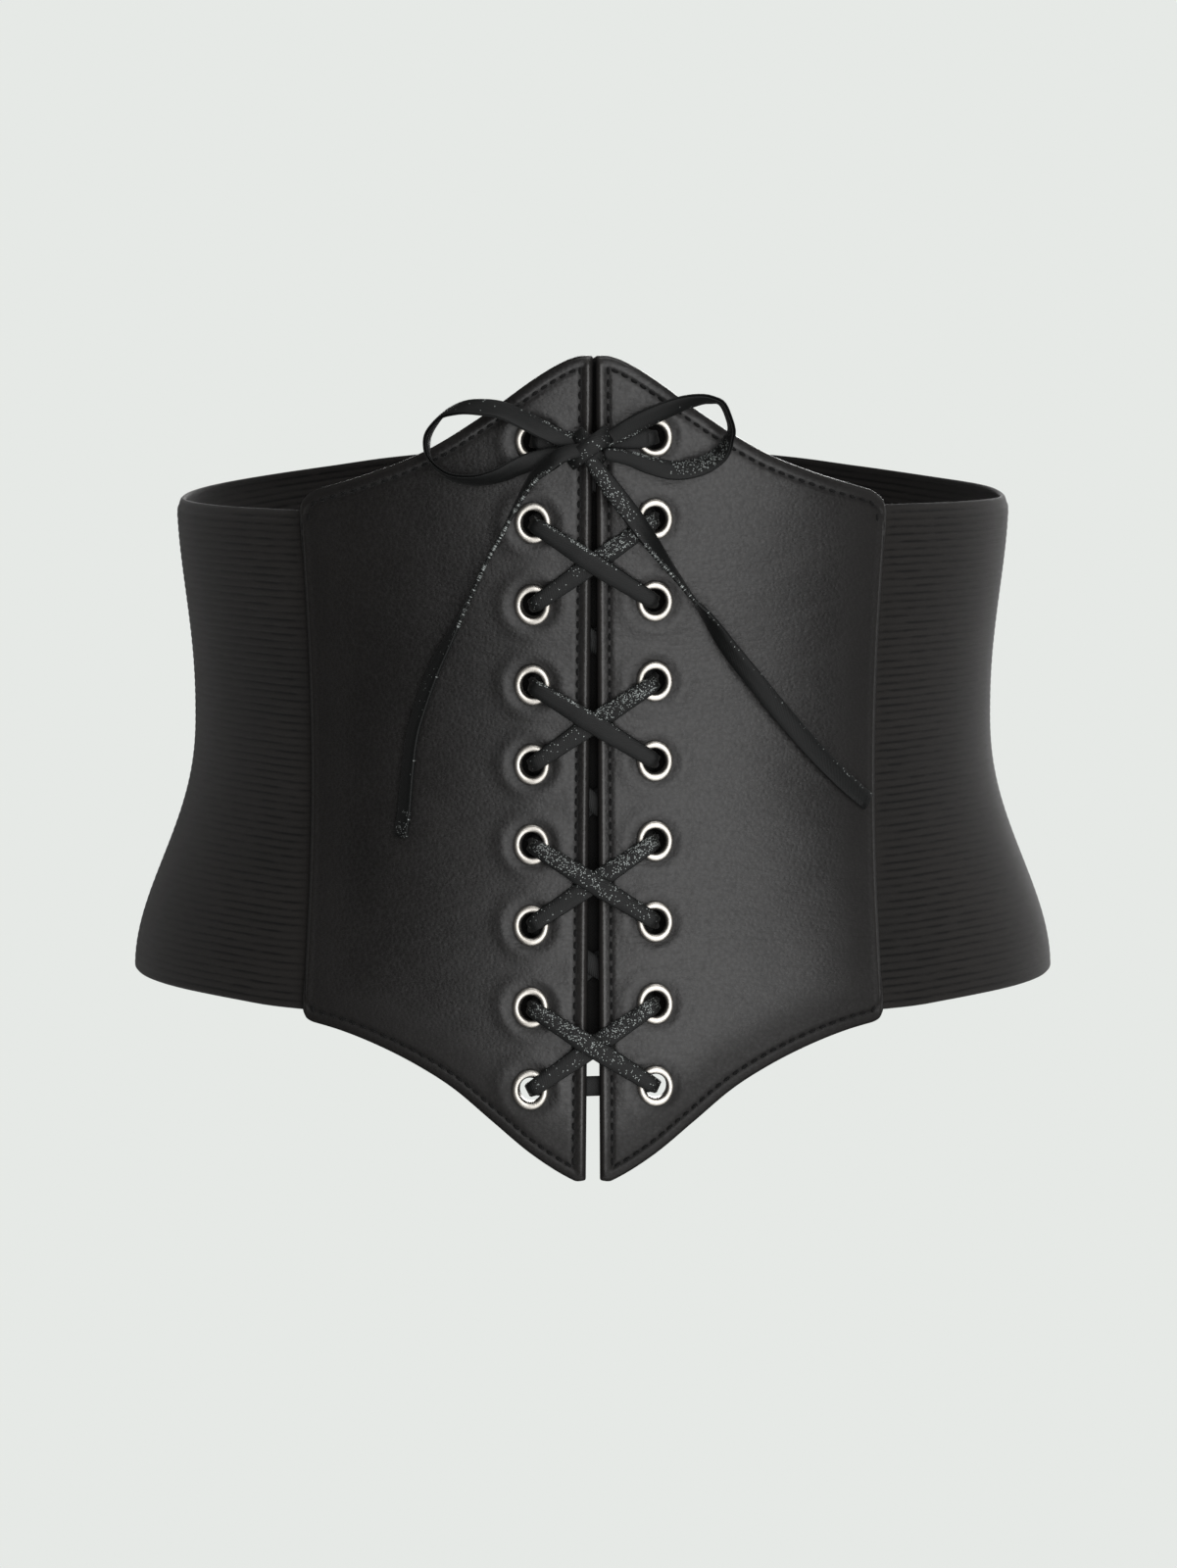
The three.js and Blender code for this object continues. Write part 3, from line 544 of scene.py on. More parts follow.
# Free lace: each row is across, up, out from the form, and the lace's turn from flat, in degrees
freeRoutes = {
    "bow_loop_left": [
        (-2, 75.6, 7.6, 0), (-6.3, 76.9, 7.7, 0), (-11.4, 79.4, 8.2, 15), (-16.7, 82.2, 9, 25),
        (-22.3, 84.9, 9.7, 30), (-28.1, 85.8, 10, 40), (-34, 85.1, 9.8, 65), (-38.3, 82.5, 9.2, 85),
        (-40.9, 78.6, 8.6, 90), (-41.3, 74.5, 8.2, 85), (-39.6, 70.6, 7.9, 75), (-36.1, 67.8, 7.5, 70),
        (-30.5, 66.8, 7.2, 62), (-24.7, 67.8, 7, 48), (-19.3, 70.2, 6.7, 28), (-14.2, 72.2, 6.4, 8),
        (-9.1, 73.6, 6.1, 0), (-3, 74.5, 6.1, 0),
    ],
    "bow_loop_right": [
        (-1, 76, 7.6, 0), (3.4, 77.4, 7.7, 0), (7.6, 79.6, 8.2, 10), (12.4, 82.4, 8.9, 20),
        (18, 85.1, 9.6, 30), (23.8, 87.2, 10, 50), (29.1, 87.6, 10, 75), (32.4, 85.7, 9.6, 90),
        (34.1, 81.4, 8.8, 90), (33.5, 77, 8.2, 70), (31, 72.9, 7.7, 40), (25.9, 70.1, 7.2, 20),
        (20.1, 69.4, 6.8, 10), (14.2, 70.8, 6.4, 5), (8.9, 72.6, 6.1, 0), (2, 74, 6.1, 0),
    ],
    "lace_tail_left": [
        (-2, 75, 9.4, 0), (-6.4, 74, 9.8, 8), (-11, 71, 10.3, 40), (-15.3, 66.9, 9.9, 65),
        (-19.3, 59.9, 9.1, 78), (-22.9, 53, 8.5, 83), (-26, 47.6, 8, 84), (-29.6, 40, 7.5, 82),
        (-33.2, 32.3, 7, 74), (-36.9, 24.7, 6.6, 56), (-40.3, 17.4, 6.2, 45), (-43.4, 8.7, 5.8, 40),
        (-45.9, 0.1, 5.5, 38), (-47.4, -10.5, 5.2, 35), (-48.4, -20.6, 4.9, 32), (-49.5, -28, 4.8, 30),
    ],
    "lace_tail_right": [
        (-2, 74, 9.1, 0), (0.4, 70.7, 8.9, 0), (3.8, 65.9, 8.6, 0), (7.1, 61.4, 8.3, -5),
        (10.4, 57, 8, -12), (15, 50.6, 7.6, -40), (19.6, 44.4, 7.3, -68), (24.3, 38, 7.2, -84),
        (29.2, 31.5, 7.4, -116), (34.6, 23.1, 7.4, -145), (40.7, 14.9, 7, -160), (46.7, 7, 6.4, -168),
        (52.5, -0.2, 5.8, -172), (58.9, -7.5, 5.1, -176), (65.1, -14, 4.5, -178), (71.5, -19.8, 4, -180),
    ],
}
freeEnds = {
    "bow_loop_left": "object", "bow_loop_right": "object",
    "lace_tail_left": "bare", "lace_tail_right": "bare",
}
# How much of the silver braid shows along each, from the knot on; less than 0 is on the edge alone
braidShown = {
    "bow_loop_left": [(0, -0.8), (0.12, -0.6), (0.22, 0), (0.6, 0), (1, 0)],
    "bow_loop_right": [(0, -0.8), (0.15, -0.7), (0.25, 0), (0.52, 0), (0.62, 0.9), (0.76, 0.7), (0.88, -0.8),
                       (1, -0.5)],
    "lace_tail_left": [(0, 0), (0.12, -0.2), (0.2, -1), (0.52, -1), (0.6, 0), (0.92, 0), (1, 0.7)],
    "lace_tail_right": [(0, 0.2), (0.12, 0.45), (0.26, 0.3), (0.32, -0.9), (0.48, -0.6), (0.56, -0.1),
                        (1, -0.25)],
}


def freeStations(name):
    rows = curveThrough(freeRoutes[name], 5)
    stations = []
    for i, (x, z, out, turn) in enumerate(rows):
        before, after = rows[max(i - 1, 0)], rows[min(i + 1, len(rows) - 1)]
        along = Vector((after[0] - before[0], 0, after[1] - before[1])).normalized()
        width = along.cross(frontNormal(x, z))
        width.rotate(Matrix.Rotation(math.radians(turn), 3, along))
        if name == "lace_tail_left":
            width.negate()
        fromKnot = min(i, len(rows) - 1 - i) if freeEnds[name] == "object" else i
        wide = mix(lace["knotWidth"], 1, smooth(fromKnot / lace["gathered"]))
        stations.append({
            "point": onFront(x, z, out), "width": width,
            "wide": wide, "thick": mix(lace["knotThickness"], 1, wide),
            "braid": readRows(braidShown[name], i / (len(rows) - 1)),
        })
    return stations


for name, finalEnd in freeEnds.items():
    stations = freeStations(name)
    path = [station["point"] for station in stations]
    length = sum((b - a).length for a, b in zip(path, path[1:]))
    first, *others = name.split("_")
    pieceName = first + "".join(word.title() for word in others)
    strand = addPiece(pieceName, sweepLace(bmesh.new(), stations), "lace", "lace", name)
print("bow and free ends ready")


# Knot: its place on the front, its core, and the turns of lace round it
knot = {
    "x": -1, "z": 75.3, "out": 6.9, "core": (3.4, 3.6, 2.2), "thick": 1.2, "braid": 0.15, "steps": 32,
    "turns": [{"tilt": -54, "halfHeight": 6.2, "halfDepth": 2.9, "wide": 0.95},
              {"tilt": 38, "halfHeight": 4.8, "halfDepth": 2.4, "wide": 0.8}],
}


def legStations(start, end, atEyelet, atMiddle, startsInHole, endsInHole, braid):
    # One straight run of the lacing from an eyelet to the next, with the lace tightened at both
    start, end = Vector(start), Vector(end)
    length = (end - start).length
    direction = (end - start).normalized()
    bend = lace["thickness"] + lace["bend"]
    turned = (atEyelet + (panel["inner"] + panel["outer"]) / 2) / 2
    dip = mix(atEyelet, turned, 0.35)
    crossing = lace["crossing"] * lace["width"]
    nearMiddle = mix(atEyelet, atMiddle, 0.7)
    rows = [(bend, atEyelet, lace["eyeletWidth"]), (0.45 * length - crossing, nearMiddle, 1)]
    rows += [(length / 2 + shift * crossing, atMiddle, lace["crossingWidth"]) for shift in (-0.7, 0, 0.7)]
    rows += [(0.55 * length + crossing, nearMiddle, 1), (length - bend, atEyelet, lace["eyeletWidth"])]
    if startsInHole:
        rows.insert(0, (0.3 * bend, dip, lace["holeWidth"]))
    if endsInHole:
        rows.append((length - 0.3 * bend, dip, lace["holeWidth"]))
    along = Vector((direction.x, 0, direction.y))
    found = []
    for distance, out, wide in rows:
        x, z = start + direction * distance
        opened = (wide - lace["holeWidth"]) / (1 - lace["holeWidth"])
        shown = smooth(2.2 * distance / length - 0.5)
        found.append({
            "point": onFront(x, z, out), "width": along.cross(frontNormal(x, z)), "wide": wide,
            "thick": mix(lace["holeThickness"], 1, opened), "braid": mix(*braid, shown),
        })
    return found


def holeStations(place, fromFront, before, after):
    # The lace inside an eyelet, turning from one run's direction to the next one's
    outs = [panel["outer"] + 0.4, panel["inner"] - 0.2]
    if not fromFront:
        outs.reverse()
    turned = after if after.dot(before) > 0 else -after
    return [{
        "point": onFront(*place, out), "width": before.lerp(turned, share), "wide": lace["holeWidth"],
        "thick": lace["holeThickness"], "braid": 0,
    } for out, share in zip(outs, (0.15, 0.85))]


def lacingStations():
    start = (knot["x"], eyelet["topZ"])
    rows = range(eyelet["rows"])
    downward = [eyeletPlace(sides["right" if row % 2 else "left"], row) for row in rows]
    upward = [eyeletPlace(sides["left" if row % 2 else "right"], row) for row in reversed(rows)]
    places = [start, *downward, *upward, start]
    legs = []
    for i in range(len(places) - 1):
        front = i % 2 == 0
        atEyelet = frontAtEyelet if front else backAtEyelet
        under, over = (frontUnder, frontOver) if front else (backUnder, backOver)
        goesDown = i < eyelet["rows"]
        atMiddle = under if goesDown else over
        if i in (0, eyelet["rows"], len(places) - 2):
            atMiddle = atEyelet
        # Silver shown at the start and the end of the run
        braid = (0, 0)
        if front and goesDown:
            braid = (1, 0.1)
        elif front:
            braid = (0.2, 0.7) if i < eyelet["rows"] + 4 else (0, -1)
        inHoles = i > 0, i < len(places) - 2
        legs.append(legStations(places[i], places[i + 1], atEyelet, atMiddle, *inHoles, braid))
    stations = list(legs[0])
    for i in range(1, len(legs)):
        stations += holeStations(places[i], i % 2 == 1, legs[i - 1][-1]["width"], legs[i][0]["width"])
        stations += legs[i]
    return stations


def smoothStations(stations, steps):
    # More stations on a smooth curve through the given ones
    points = curveThrough([station["point"] / mm for station in stations], steps)
    found = []
    for i, point in enumerate(points):
        at = min(i // steps, len(stations) - 2)
        a, b, share = stations[at], stations[at + 1], i / steps - at
        turned = b["width"] if b["width"].dot(a["width"]) > 0 else -b["width"]
        found.append({"point": point * mm, "width": a["width"].lerp(turned, share),
                      **{key: mix(a[key], b[key], share) for key in ("wide", "thick", "braid")}})
    return found


# The lacing: down one side of each cross from the knot, behind the lowest row, and up again
addPiece("lacing", sweepLace(bmesh.new(), smoothStations(lacingStations(), 4)), "lace", "lace", "lacing")


def knotShape():
    # Two turns of lace round a small core
    shape = bmesh.new()
    centre = frontMatrix(knot["x"], knot["z"], knot["out"])
    for wrap in knot["turns"]:
        tilted = centre @ Matrix.Rotation(math.radians(wrap["tilt"]), 4, "Z")
        stations = []
        for i in range(knot["steps"] + 1):
            angle = 2 * math.pi * i / knot["steps"] - math.pi / 2
            up, out = math.cos(angle) * wrap["halfHeight"], math.sin(angle) * wrap["halfDepth"]
            stations.append({
                "point": tilted @ (Vector((0, up, out)) * mm), "width": tilted.to_3x3() @ Vector((1, 0, 0)),
                "wide": wrap["wide"], "thick": knot["thick"], "braid": knot["braid"],
            })
        sweepLace(shape, stations)
    core = Matrix.Diagonal((*(half * mm for half in knot["core"]), 1))
    bmesh.ops.create_uvsphere(shape, u_segments=24, v_segments=14, radius=1, matrix=centre @ core)
    return shape


addPiece("knot", knotShape(), "lace", "lace", "knot")
print("lacing and knot ready")


# Panels: a fine grid laid on the outline, given its thickness, then relief on its outer face.
# The grid's lines near an edge, in millimetres from it, and how many spans lie between those
edgeStops = [0, 0.06, 0.2, 0.42, 0.7, 1.0, 1.5, 2.0, 2.5, 2.9, 3.3, 3.7, 4.2, 5.0, 6.2]
sideStops = [3.4, 2.6, 2.0, 1.5, 1.1, 0.75, 0.45, 0.2, 0.06, 0]
middleColumns, middleRows = 42, 128


def rolled(distance, radius):
    return cornerCut(min(distance, radius), radius)


def doubled(shape):
    # Gives a flat grid a second face, and returns each vert of the first with the one above it
    def place(vert):
        return tuple(round(c, 5) for c in vert.co)

    flat = list(shape.verts)
    made = bmesh.ops.extrude_face_region(shape, geom=shape.faces[:])["geom"]
    above = {place(part): part for part in made if isinstance(part, bmesh.types.BMVert)}
    return [(vert, above[place(vert)]) for vert in flat]


def panelGrid():
    # Shares across, and for the rows the millimetres from the bottom, shares between, and from the top
    width = panel["width"]
    acrossStops = [stop / width for stop in edgeStops]
    acrossStops += [mix(edgeStops[-1], width - sideStops[0], i / middleColumns) / width
                    for i in range(1, middleColumns)]
    acrossStops += [1 - stop / width for stop in sideStops]
    rowStops = [("bottom", stop) for stop in edgeStops]
    rowStops += [("between", i / middleRows) for i in range(1, middleRows)]
    rowStops += [("top", stop) for stop in reversed(edgeStops)]
    return acrossStops, rowStops


def slopeCosine(outline, across):
    step = 0.01
    low, high = max(across - step, 0), min(across + step, 1)
    slope = (outline(high) - outline(low)) / ((high - low) * panel["width"])
    return 1 / math.sqrt(1 + slope * slope)


def edgeDistances(side, across, x, z):
    # Millimetres from the inner edge, from the top or bottom outline, and from the side seam
    top = (panelTop(across) - z) * slopeCosine(panelTop, across)
    bottom = (z - panelBottom(across)) * slopeCosine(panelBottom, across)
    return max(x - innerEdge(side, z), 0), max(min(top, bottom), 0), max(sideSeam(z) - x, 0)


def panelRelief(side, x, z, fromInner, fromOutline, fromSide):
    # What the seams, the eyelets and the leather's own waves add to the outer face
    fromEdge = min(fromInner, fromOutline)
    piping = panel["pipingHeight"] * hump(fromInner - panel["pipingFrom"], panel["pipingWidth"])
    border = panel["borderHeight"] * math.sin(math.pi * min(fromEdge / panel["beadWidth"], 1))
    bead = max(piping * smooth((fromOutline - 0.6) / 1.6), border)
    groove = -panel["grooveDepth"] * hump(fromEdge - panel["beadWidth"], panel["grooveWidth"])
    ridge = panel["ridgeHeight"] * hump(fromSide - panel["ridgeFrom"], panel["ridgeWidth"])
    slope = panel["borderDrop"] * max(1 - fromOutline / panel["beadWidth"], 0) ** panel["borderPower"]
    drop = max(panel["sideDrop"] * (1 - smooth(fromSide / panel["sideSlope"])), slope)
    gathers = 0
    for row in range(eyelet["rows"]):
        placeX, placeZ = eyeletPlace(side, row)
        away = math.hypot(side["sign"] * x - placeX, z - placeZ)
        if away < pucker["reach"]:
            rise = pucker["rimHeight"] * hump(away - pucker["rimFrom"], pucker["rimWidth"])
            gathers += rise - pucker["hollowDepth"] * hump(away - pucker["hollowFrom"], pucker["hollowWidth"])
    inside = smooth((min(fromEdge, fromSide) - 3) / 6)
    seed = 3.7 if side["sign"] > 0 else 11.3
    waves = noise.noise(Vector((x / 34, z / 11, seed)))
    waves += 0.5 * noise.noise(Vector((x / 13, z / 5, seed + 5)))
    return bead + groove + ridge - drop + gathers + panel["wrinkle"] * inside * waves


def panelShape(side):
    acrossStops, rowStops = panelGrid()
    columns, rows = len(acrossStops), len(rowStops)
    shape = bmesh.new()
    seam, rim, shade, dull = (shape.verts.layers.float.new(name) for name in ("seam", "rim", "shade", "dull"))
    rings = [Vector(eyeletPlace(side, row)) for row in range(eyelet["rows"])]
    bmesh.ops.create_grid(shape, x_segments=columns - 1, y_segments=rows - 1, size=0.5)
    reach = edgeStops[-1]
    for vert, top in doubled(shape):
        across = acrossStops[round((vert.co.x + 0.5) * (columns - 1))]
        kind, stop = rowStops[round((vert.co.y + 0.5) * (rows - 1))]
        low, high = panelBottom(across), panelTop(across)
        levels = {"bottom": low + stop, "top": high - stop, "between": mix(low + reach, high - reach, stop)}
        z = levels[kind]
        x = mix(innerEdge(side, z), sideSeam(z), across)
        distances = edgeDistances(side, across, x, z)
        fromInner, fromOutline, fromSide = distances
        nearest, fromEdge = min(distances), min(fromInner, fromOutline)
        height = panel["outer"] + panelRelief(side, x, z, *distances) - rolled(nearest, panel["roll"])
        height = max(height, panel["inner"] + panel["thinnest"])
        top.co = onFront(side["sign"] * x, z, height)
        vert.co = onFront(side["sign"] * x, z, panel["inner"] + rolled(nearest, panel["innerRoll"]))
        # Painted shade in the stitch groove
        top[seam] = hump(fromEdge - panel["beadWidth"], panel["grooveWidth"])
        # Painted shade in a ring round each eyelet, where its flange shades the leather
        away = min((ring - Vector((side["sign"] * x, z))).length for ring in rings)
        top[shade] = hump(away - pucker["shadeFrom"], pucker["shadeWidth"])
        # The leather is duller, and painted darker as shade, beside the side seam, and above the bottom
        # border too
        inland = min(fromSide, fromOutline) if z < 0 else fromSide
        top[dull] = hump(max(inland - panel["beadWidth"] - panel["dullShadeFrom"], 0), panel["dullShadeWidth"])
        top[rim] = hump(fromInner - 1.3, 0.6) + 0.35 * hump(fromOutline - 0.5, 0.5)
        top[rim] += hump(fromSide - 1.4, 0.5)
    return shape


def drillEyelets(piece, side):
    # Cuts the holes that the eyelets' tubes go through
    cutter = bmesh.new()
    radius = (eyelet["hole"] + eyelet["tubeWall"] + eyelet["drillGap"]) * mm
    stretch = Matrix.Diagonal((1, eyelet["tall"], 1, 1))
    for row in range(eyelet["rows"]):
        bmesh.ops.create_cone(
            cutter, cap_ends=True, segments=32, radius1=radius, radius2=radius,
            depth=eyelet["drillLength"] * mm,
            matrix=frontMatrix(*eyeletPlace(side, row), eyelet["drillCentre"]) @ stretch,
        )
    mesh = bpy.data.meshes.new("drill")
    cutter.to_mesh(mesh)
    cutter.free()
    drill = bpy.data.objects.new("drill", mesh)
    bpy.context.scene.collection.objects.link(drill)
    holes = piece.modifiers.new("holes", "BOOLEAN")
    holes.operation, holes.solver, holes.object = "DIFFERENCE", "EXACT", drill
    cut = bpy.data.meshes.new_from_object(piece.evaluated_get(bpy.context.evaluated_depsgraph_get()))
    piece.modifiers.clear()
    piece.data = cut
    bpy.data.objects.remove(drill)


# Stitches: black thread along the border's groove, ending short of the side seam
stitch = {"pitch": 2.7, "length": 2.0, "thickness": 0.95, "sink": 0.25, "stop": 2.2}


def seamPath(side):
    # The stitched line of one panel, from the side seam's top to its bottom by way of the inner edge
    inset = panel["beadWidth"]
    steps = 400

    def offset(outline, across, direction):
        step = 0.005
        low, high = max(across - step, 0), min(across + step, 1)
        slope = Vector(((high - low) * panel["width"], outline(high) - outline(low))).normalized()
        inward = Vector((-slope.y, slope.x)) * direction
        z = outline(across)
        x = mix(innerEdge(side, z), sideSeam(z), across)
        return Vector((x, z)) + inward * inset

    def inField(points):
        return [p for p in points if innerEdge(side, p.y) + inset < p.x < sideSeam(p.y) - stitch["stop"]]

    top = inField([offset(panelTop, i / steps, -1) for i in range(steps, -1, -1)])
    bottom = inField([offset(panelBottom, i / steps, 1) for i in range(steps + 1)])
    levels = [mix(top[-1].y, bottom[0].y, i / steps) for i in range(steps + 1)]
    return top + [Vector((innerEdge(side, z) + inset, z)) for z in levels] + bottom


def stitchShape(side):
    # One small rounded stitch at each pitch of the path, sunk in the groove
    shape = bmesh.new()
    path = seamPath(side)
    level = panel["outer"] - panel["grooveDepth"] + stitch["sink"]
    halves = [stitch[key] / 2 * mm for key in ("length", "thickness", "thickness")]
    lying = Matrix.Diagonal((*halves, 1)) @ Matrix.Rotation(math.pi / 2, 4, "Y")
    wait = 0
    for a, b in zip(path, path[1:]):
        wait -= (b - a).length
        if wait > 0:
            continue
        wait = stitch["pitch"]
        direction = (b - a).normalized()
        turn = Matrix.Rotation(math.atan2(direction.y, side["sign"] * direction.x), 4, "Z")
        bmesh.ops.create_uvsphere(
            shape, u_segments=6, v_segments=8, radius=1,
            matrix=frontMatrix(side["sign"] * a.x, a.y, level) @ turn @ lying,
        )
    return shape


for name, side in sides.items():
    piece = addPiece("panel" + name.title(), panelShape(side), "leather", "leather", "panel_" + name)
    drillEyelets(piece, side)
    addPiece("stitches" + name.title(), stitchShape(side), "thread", "leather")
print("panels ready")


# Elastic: a wall with raised level ribs on both faces, smooth where the seam presses it flat
band = {
    "wall": 1.5, "tuck": 9, "backRise": 12, "columns": 150, "pressed": {"left": 3.2, "right": 1.6},
    "ribs": 67, "ribHeight": 0.34, "ribProfile": (0, 0.8, 1, 0.8), "innerRibs": 0.8,
    "sideRibs": 0.35, "sideReach": 0.28, "curl": 1.1, "curlFrom": 5, "hem": 0.35,
    "bottomRows": [(0, -0.19), (0.035, -0.16), (0.055, -0.105), (0.08, -0.06), (0.12, -0.03), (0.17, -0.01),
                   (0.23, 0.07), (0.3, 0.27), (0.36, 0.56), (0.4, 0.76), (0.45, 0.93), (0.5, 1)],
    "topLeft": [(0, 0), (0.035, 0.01), (0.055, 0.02), (0.08, 0.03), (0.12, 0.055), (0.17, 0.1),
                (0.23, 0.22), (0.3, 0.42), (0.36, 0.65), (0.4, 0.85), (0.45, 1.03), (0.5, 1.1)],
    "topRight": [(0, 0.135), (0.08, 0.135), (0.12, 0.14), (0.17, 0.16), (0.23, 0.29), (0.3, 0.44),
                 (0.36, 0.66), (0.4, 0.85), (0.45, 1.03), (0.5, 1.1)],
}


def elasticShape():
    rows = band["ribs"] * len(band["ribProfile"])
    shape = bmesh.new()
    crest = shape.verts.layers.float.new("crest")
    bmesh.ops.create_grid(shape, x_segments=band["columns"], y_segments=rows, size=0.5)
    for vert, top in doubled(shape):
        s, t = vert.co.x + 0.5, vert.co.y + 0.5
        level = mix(-waist["below"], waist["above"], t)
        halfWidth, _ = halfSizes(level)
        end = math.acos(((sideSeam(level) - band["tuck"]) / halfWidth) ** (waist["planPower"] / 2))
        angle = mix(-end, math.pi + end, s)
        fromSeam = min(s, 1 - s)
        bottomRise = readRows(band["bottomRows"], fromSeam)
        topRise = readRows(band["topRight" if s < 0.5 else "topLeft"], fromSeam)
        rise = band["backRise"] * mix(bottomRise, topRise, t)
        row = round(t * rows)
        rib = band["ribProfile"][row % len(band["ribProfile"])]
        # The ribs are pressed flat beside the side seam, and lower where the elastic turns away at the sides
        x = abs(onRing(angle, level, 0).x) / mm
        pressed = band["pressed"]["left" if s > 0.5 else "right"]
        free = smooth((x - sideSeam(level) - clear) / pressed) if math.sin(angle) < 0 else 1
        free *= mix(band["sideRibs"], 1, smooth((1 - abs(math.cos(angle))) / band["sideReach"]))
        curl = band["curl"] * smooth((level - waist["above"] + band["curlFrom"]) / band["curlFrom"]) ** 2
        hem = band["hem"] if row in (0, rows) else 0
        height = band["ribHeight"] * (rib * free - 0.4) - hem - curl
        top.co = onRing(angle, level, height, rise)
        vert.co = onRing(angle, level, -band["wall"] - (height + curl) * band["innerRibs"] - curl, rise)
        for point in (top, vert):
            point[crest] = 1 - (1 - rib) * free
    return shape


addPiece("elasticBand", elasticShape(), "elastic", "elastic", "elastic_left", "elastic_right")
print("elastic ready")


def eyeletShape(side):
    # A rolled front flange, the tube, and a flatter back flange, turned round their axis
    shape = bmesh.new()
    hole, tube = eyelet["hole"], eyelet["hole"] + eyelet["tubeWall"]
    seat, back = panel["outer"], panel["inner"] - eyelet["clearance"]
    top = seat + eyelet["clearance"] + eyelet["frontHeight"]
    rim, backRim = eyelet["flange"], eyelet["backFlange"]
    # Distance from the axis and height, from inside the tube over the crown and round to the back
    profile = [
        (hole, back - 0.2), (hole, seat), (hole + 0.04, seat + 0.5), (hole + 0.16, top - 0.3),
        (hole + 0.34, top - 0.13), (hole + 0.62, top - 0.03), (hole + 0.95, top), (hole + 1.3, top - 0.05),
        (hole + 1.6, top - 0.18), (hole + 1.8, top - 0.42), (rim + 0.25, seat + 0.25),
        (rim + 0.18, seat - 0.2), (hole + 1.2, seat - 0.3), (tube, seat - 0.4), (tube, back),
        (backRim, back), (backRim - 0.3, back - 0.35), (tube + 0.1, back - 0.55), (hole + 0.2, back - 0.45),
    ]
    stretch = Matrix.Diagonal((1, eyelet["tall"], 1, 1))
    for row in range(eyelet["rows"]):
        verts = [shape.verts.new((radius * mm, 0, height * mm)) for radius, height in profile]
        edges = [shape.edges.new((verts[i - 1], verts[i])) for i in range(len(verts))]
        before = set(shape.verts) - set(verts)
        bmesh.ops.spin(shape, geom=verts + edges, cent=(0, 0, 0), axis=(0, 0, 1), angle=2 * math.pi,
                       steps=40, use_merge=True)
        ring = [vert for vert in shape.verts if vert not in before]
        bmesh.ops.transform(shape, matrix=frontMatrix(*eyeletPlace(side, row), 0) @ stretch, verts=ring)
    bmesh.ops.remove_doubles(shape, verts=shape.verts, dist=1e-7)
    return shape


for name, side in sides.items():
    nodes = [f"eyelet_{name}_{row + 1}" for row in range(eyelet["rows"])]
    addPiece("eyelets" + name.title(), eyeletShape(side), "metal", "eyelet", *nodes)
print("eyelets ready")


# Backing strip: sewn flat behind the left panel, then stepped back behind the lacing
strip = {
    "wall": 1.2, "bottomZ": -82, "topInset": 0.1, "columns": 58, "rows": 120,
    "sewnEdge": 34, "sewnEnd": 28.5, "stepEnd": 22, "freeEdge": 24,
}


def stripShape():
    shape = bmesh.new()
    bmesh.ops.create_grid(shape, x_segments=strip["columns"], y_segments=strip["rows"], size=0.5)
    for vert, top in doubled(shape):
        s, t = vert.co.x + 0.5, vert.co.y + 0.5
        x = mix(-strip["sewnEdge"], strip["freeEdge"], s)
        z = mix(strip["bottomZ"], panelTop(abs(x) / panel["width"]) - strip["topInset"], t)
        step = smooth((x + strip["sewnEnd"]) / (strip["sewnEnd"] - strip["stepEnd"]))
        height = mix(panel["inner"] - clear, stripOuter, step)
        top.co = onFront(x, z, height)
        vert.co = onFront(x, z, height - strip["wall"])
    return shape


addPiece("backingStrip", stripShape(), "strip", "backing", "backing_strip")
print("backing strip ready")


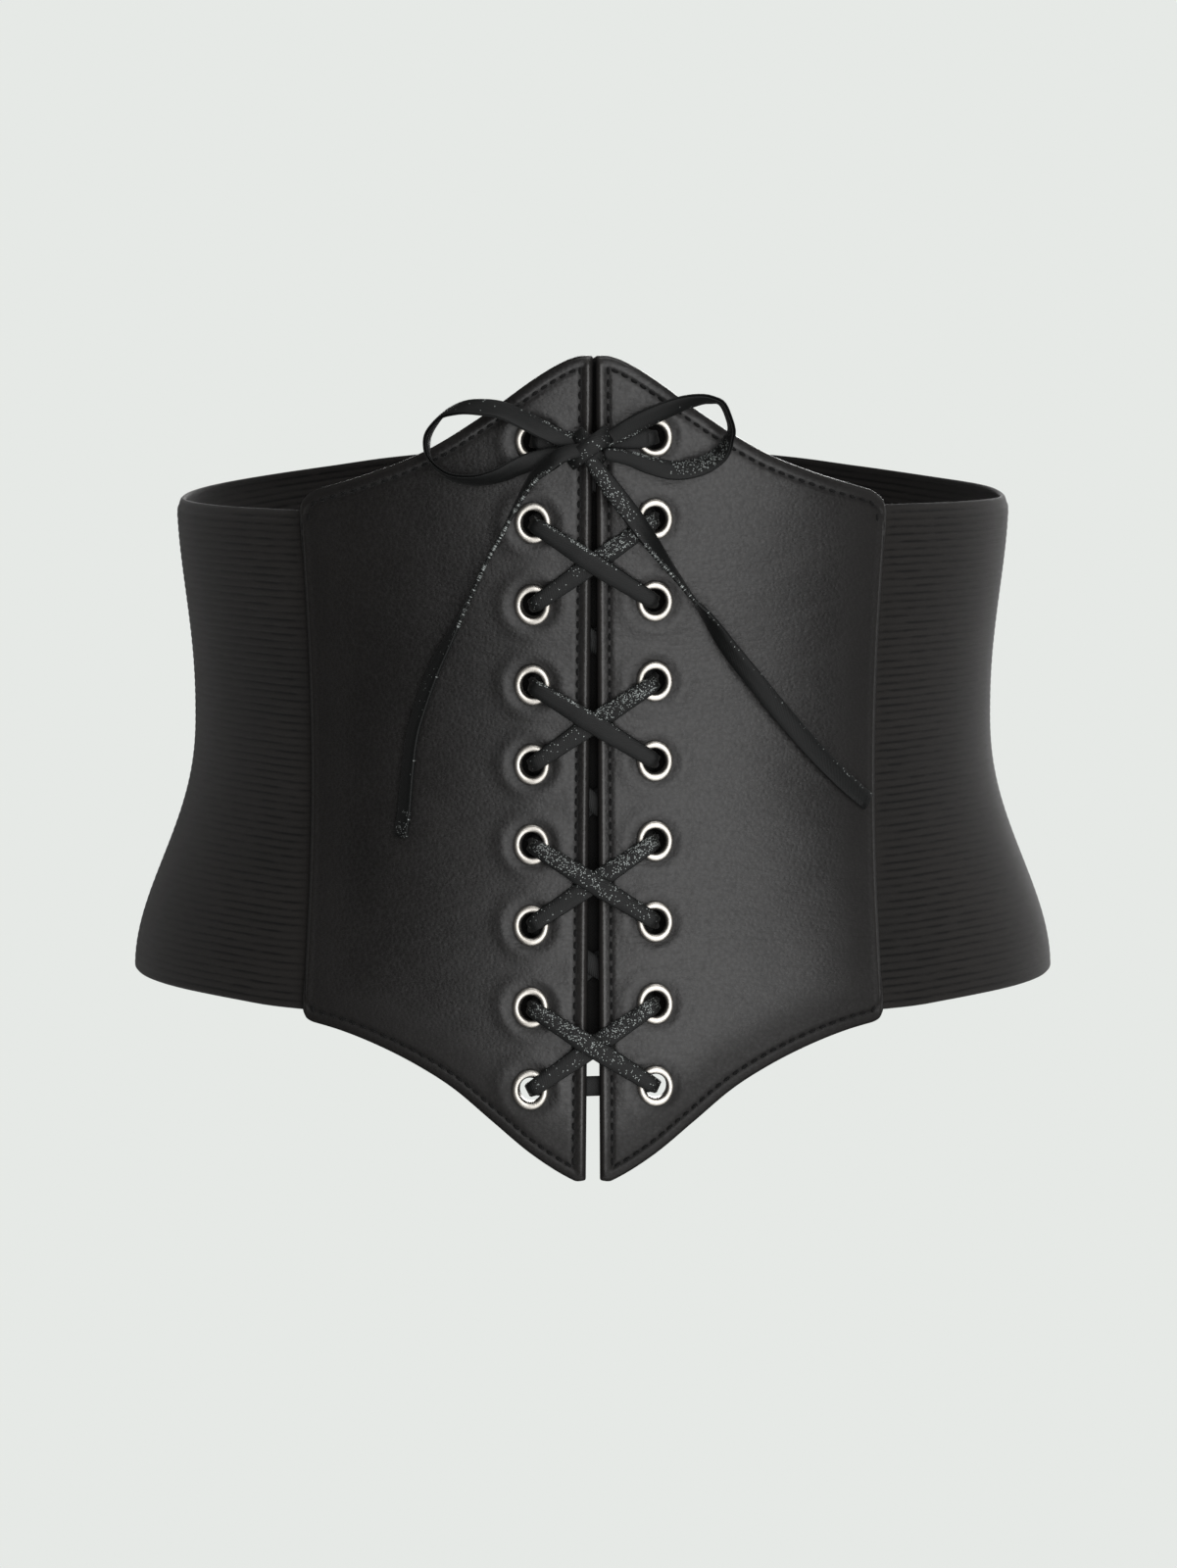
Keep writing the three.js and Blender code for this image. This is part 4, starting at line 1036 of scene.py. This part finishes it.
# A pale round studio with a flat floor, seen by the camera only, so that it throws no light back
studio = {
    "radius": 4, "floor": -0.5, "colour": (0.791, 0.815, 0.791), "air": (1, 0.96, 0.92), "airStrength": 0.05,
}
dome = bmesh.new()
bmesh.ops.create_uvsphere(dome, u_segments=48, v_segments=24, radius=studio["radius"])
for vert in dome.verts:
    vert.co.z = max(vert.co.z, studio["floor"])
domeMesh = bpy.data.meshes.new("studio")
dome.to_mesh(domeMesh)
dome.free()
paper = Finish("studioPaper", Base_Color=(0, 0, 0, 1), Specular_IOR_Level=0.0, Roughness=1.0)
paper.shader.inputs["Emission Color"].default_value = (*studio["colour"], 1)
paper.shader.inputs["Emission Strength"].default_value = 1
domeMesh.materials.append(paper.material)
backdrop = bpy.data.objects.new("studio", domeMesh)
bpy.context.scene.collection.objects.link(backdrop)
for ray in ("diffuse", "glossy", "transmission", "volume_scatter", "shadow"):
    setattr(backdrop, "visible_" + ray, False)

world = bpy.data.worlds.new("world")
world.use_nodes = True
air = world.node_tree.nodes["Background"].inputs
air["Color"].default_value = (*studio["air"], 1)
air["Strength"].default_value = studio["airStrength"]
bpy.context.scene.world = world
bpy.context.scene.view_settings.view_transform = "Standard"

# Soft boxes: place and what they face in metres, size, and power in watts
softBoxes = {
    "key": {"at": (0.32, -1.35, 0.06), "to": (0.02, -0.08, 0), "size": (1.1, 1.6), "power": 14.2},
    "top": {"at": (0.25, -0.2, 1.3), "to": (0, 0, 0), "size": (1.0, 0.7), "power": 4},
    "rimRight": {"at": (1.2, 0.45, 0.2), "to": (0.1, 0, 0), "size": (0.4, 1.1), "power": 2.7},
    "back": {"at": (0.2, 1.6, 0.35), "to": (0, 0.1, 0), "size": (0.9, 0.9), "power": 22},
    "floor": {"at": (0.25, -0.8, -0.8), "to": (0, -0.1, 0), "size": (1.0, 0.6), "power": 2.2},
    "rimLeft": {"at": (-1.2, 0.45, 0.2), "to": (-0.1, 0, 0), "size": (0.4, 1.1), "power": 0.8},
}
for name, box in softBoxes.items():
    light = bpy.data.lights.new(name, "AREA")
    light.shape, light.energy = "RECTANGLE", box["power"]
    light.size, light.size_y = box["size"]
    lamp = bpy.data.objects.new(name, light)
    lamp.location = box["at"]
    lamp.rotation_euler = (Vector(box["at"]) - Vector(box["to"])).to_track_quat("Z", "Y").to_euler()
    bpy.context.scene.collection.objects.link(lamp)
print("studio ready")
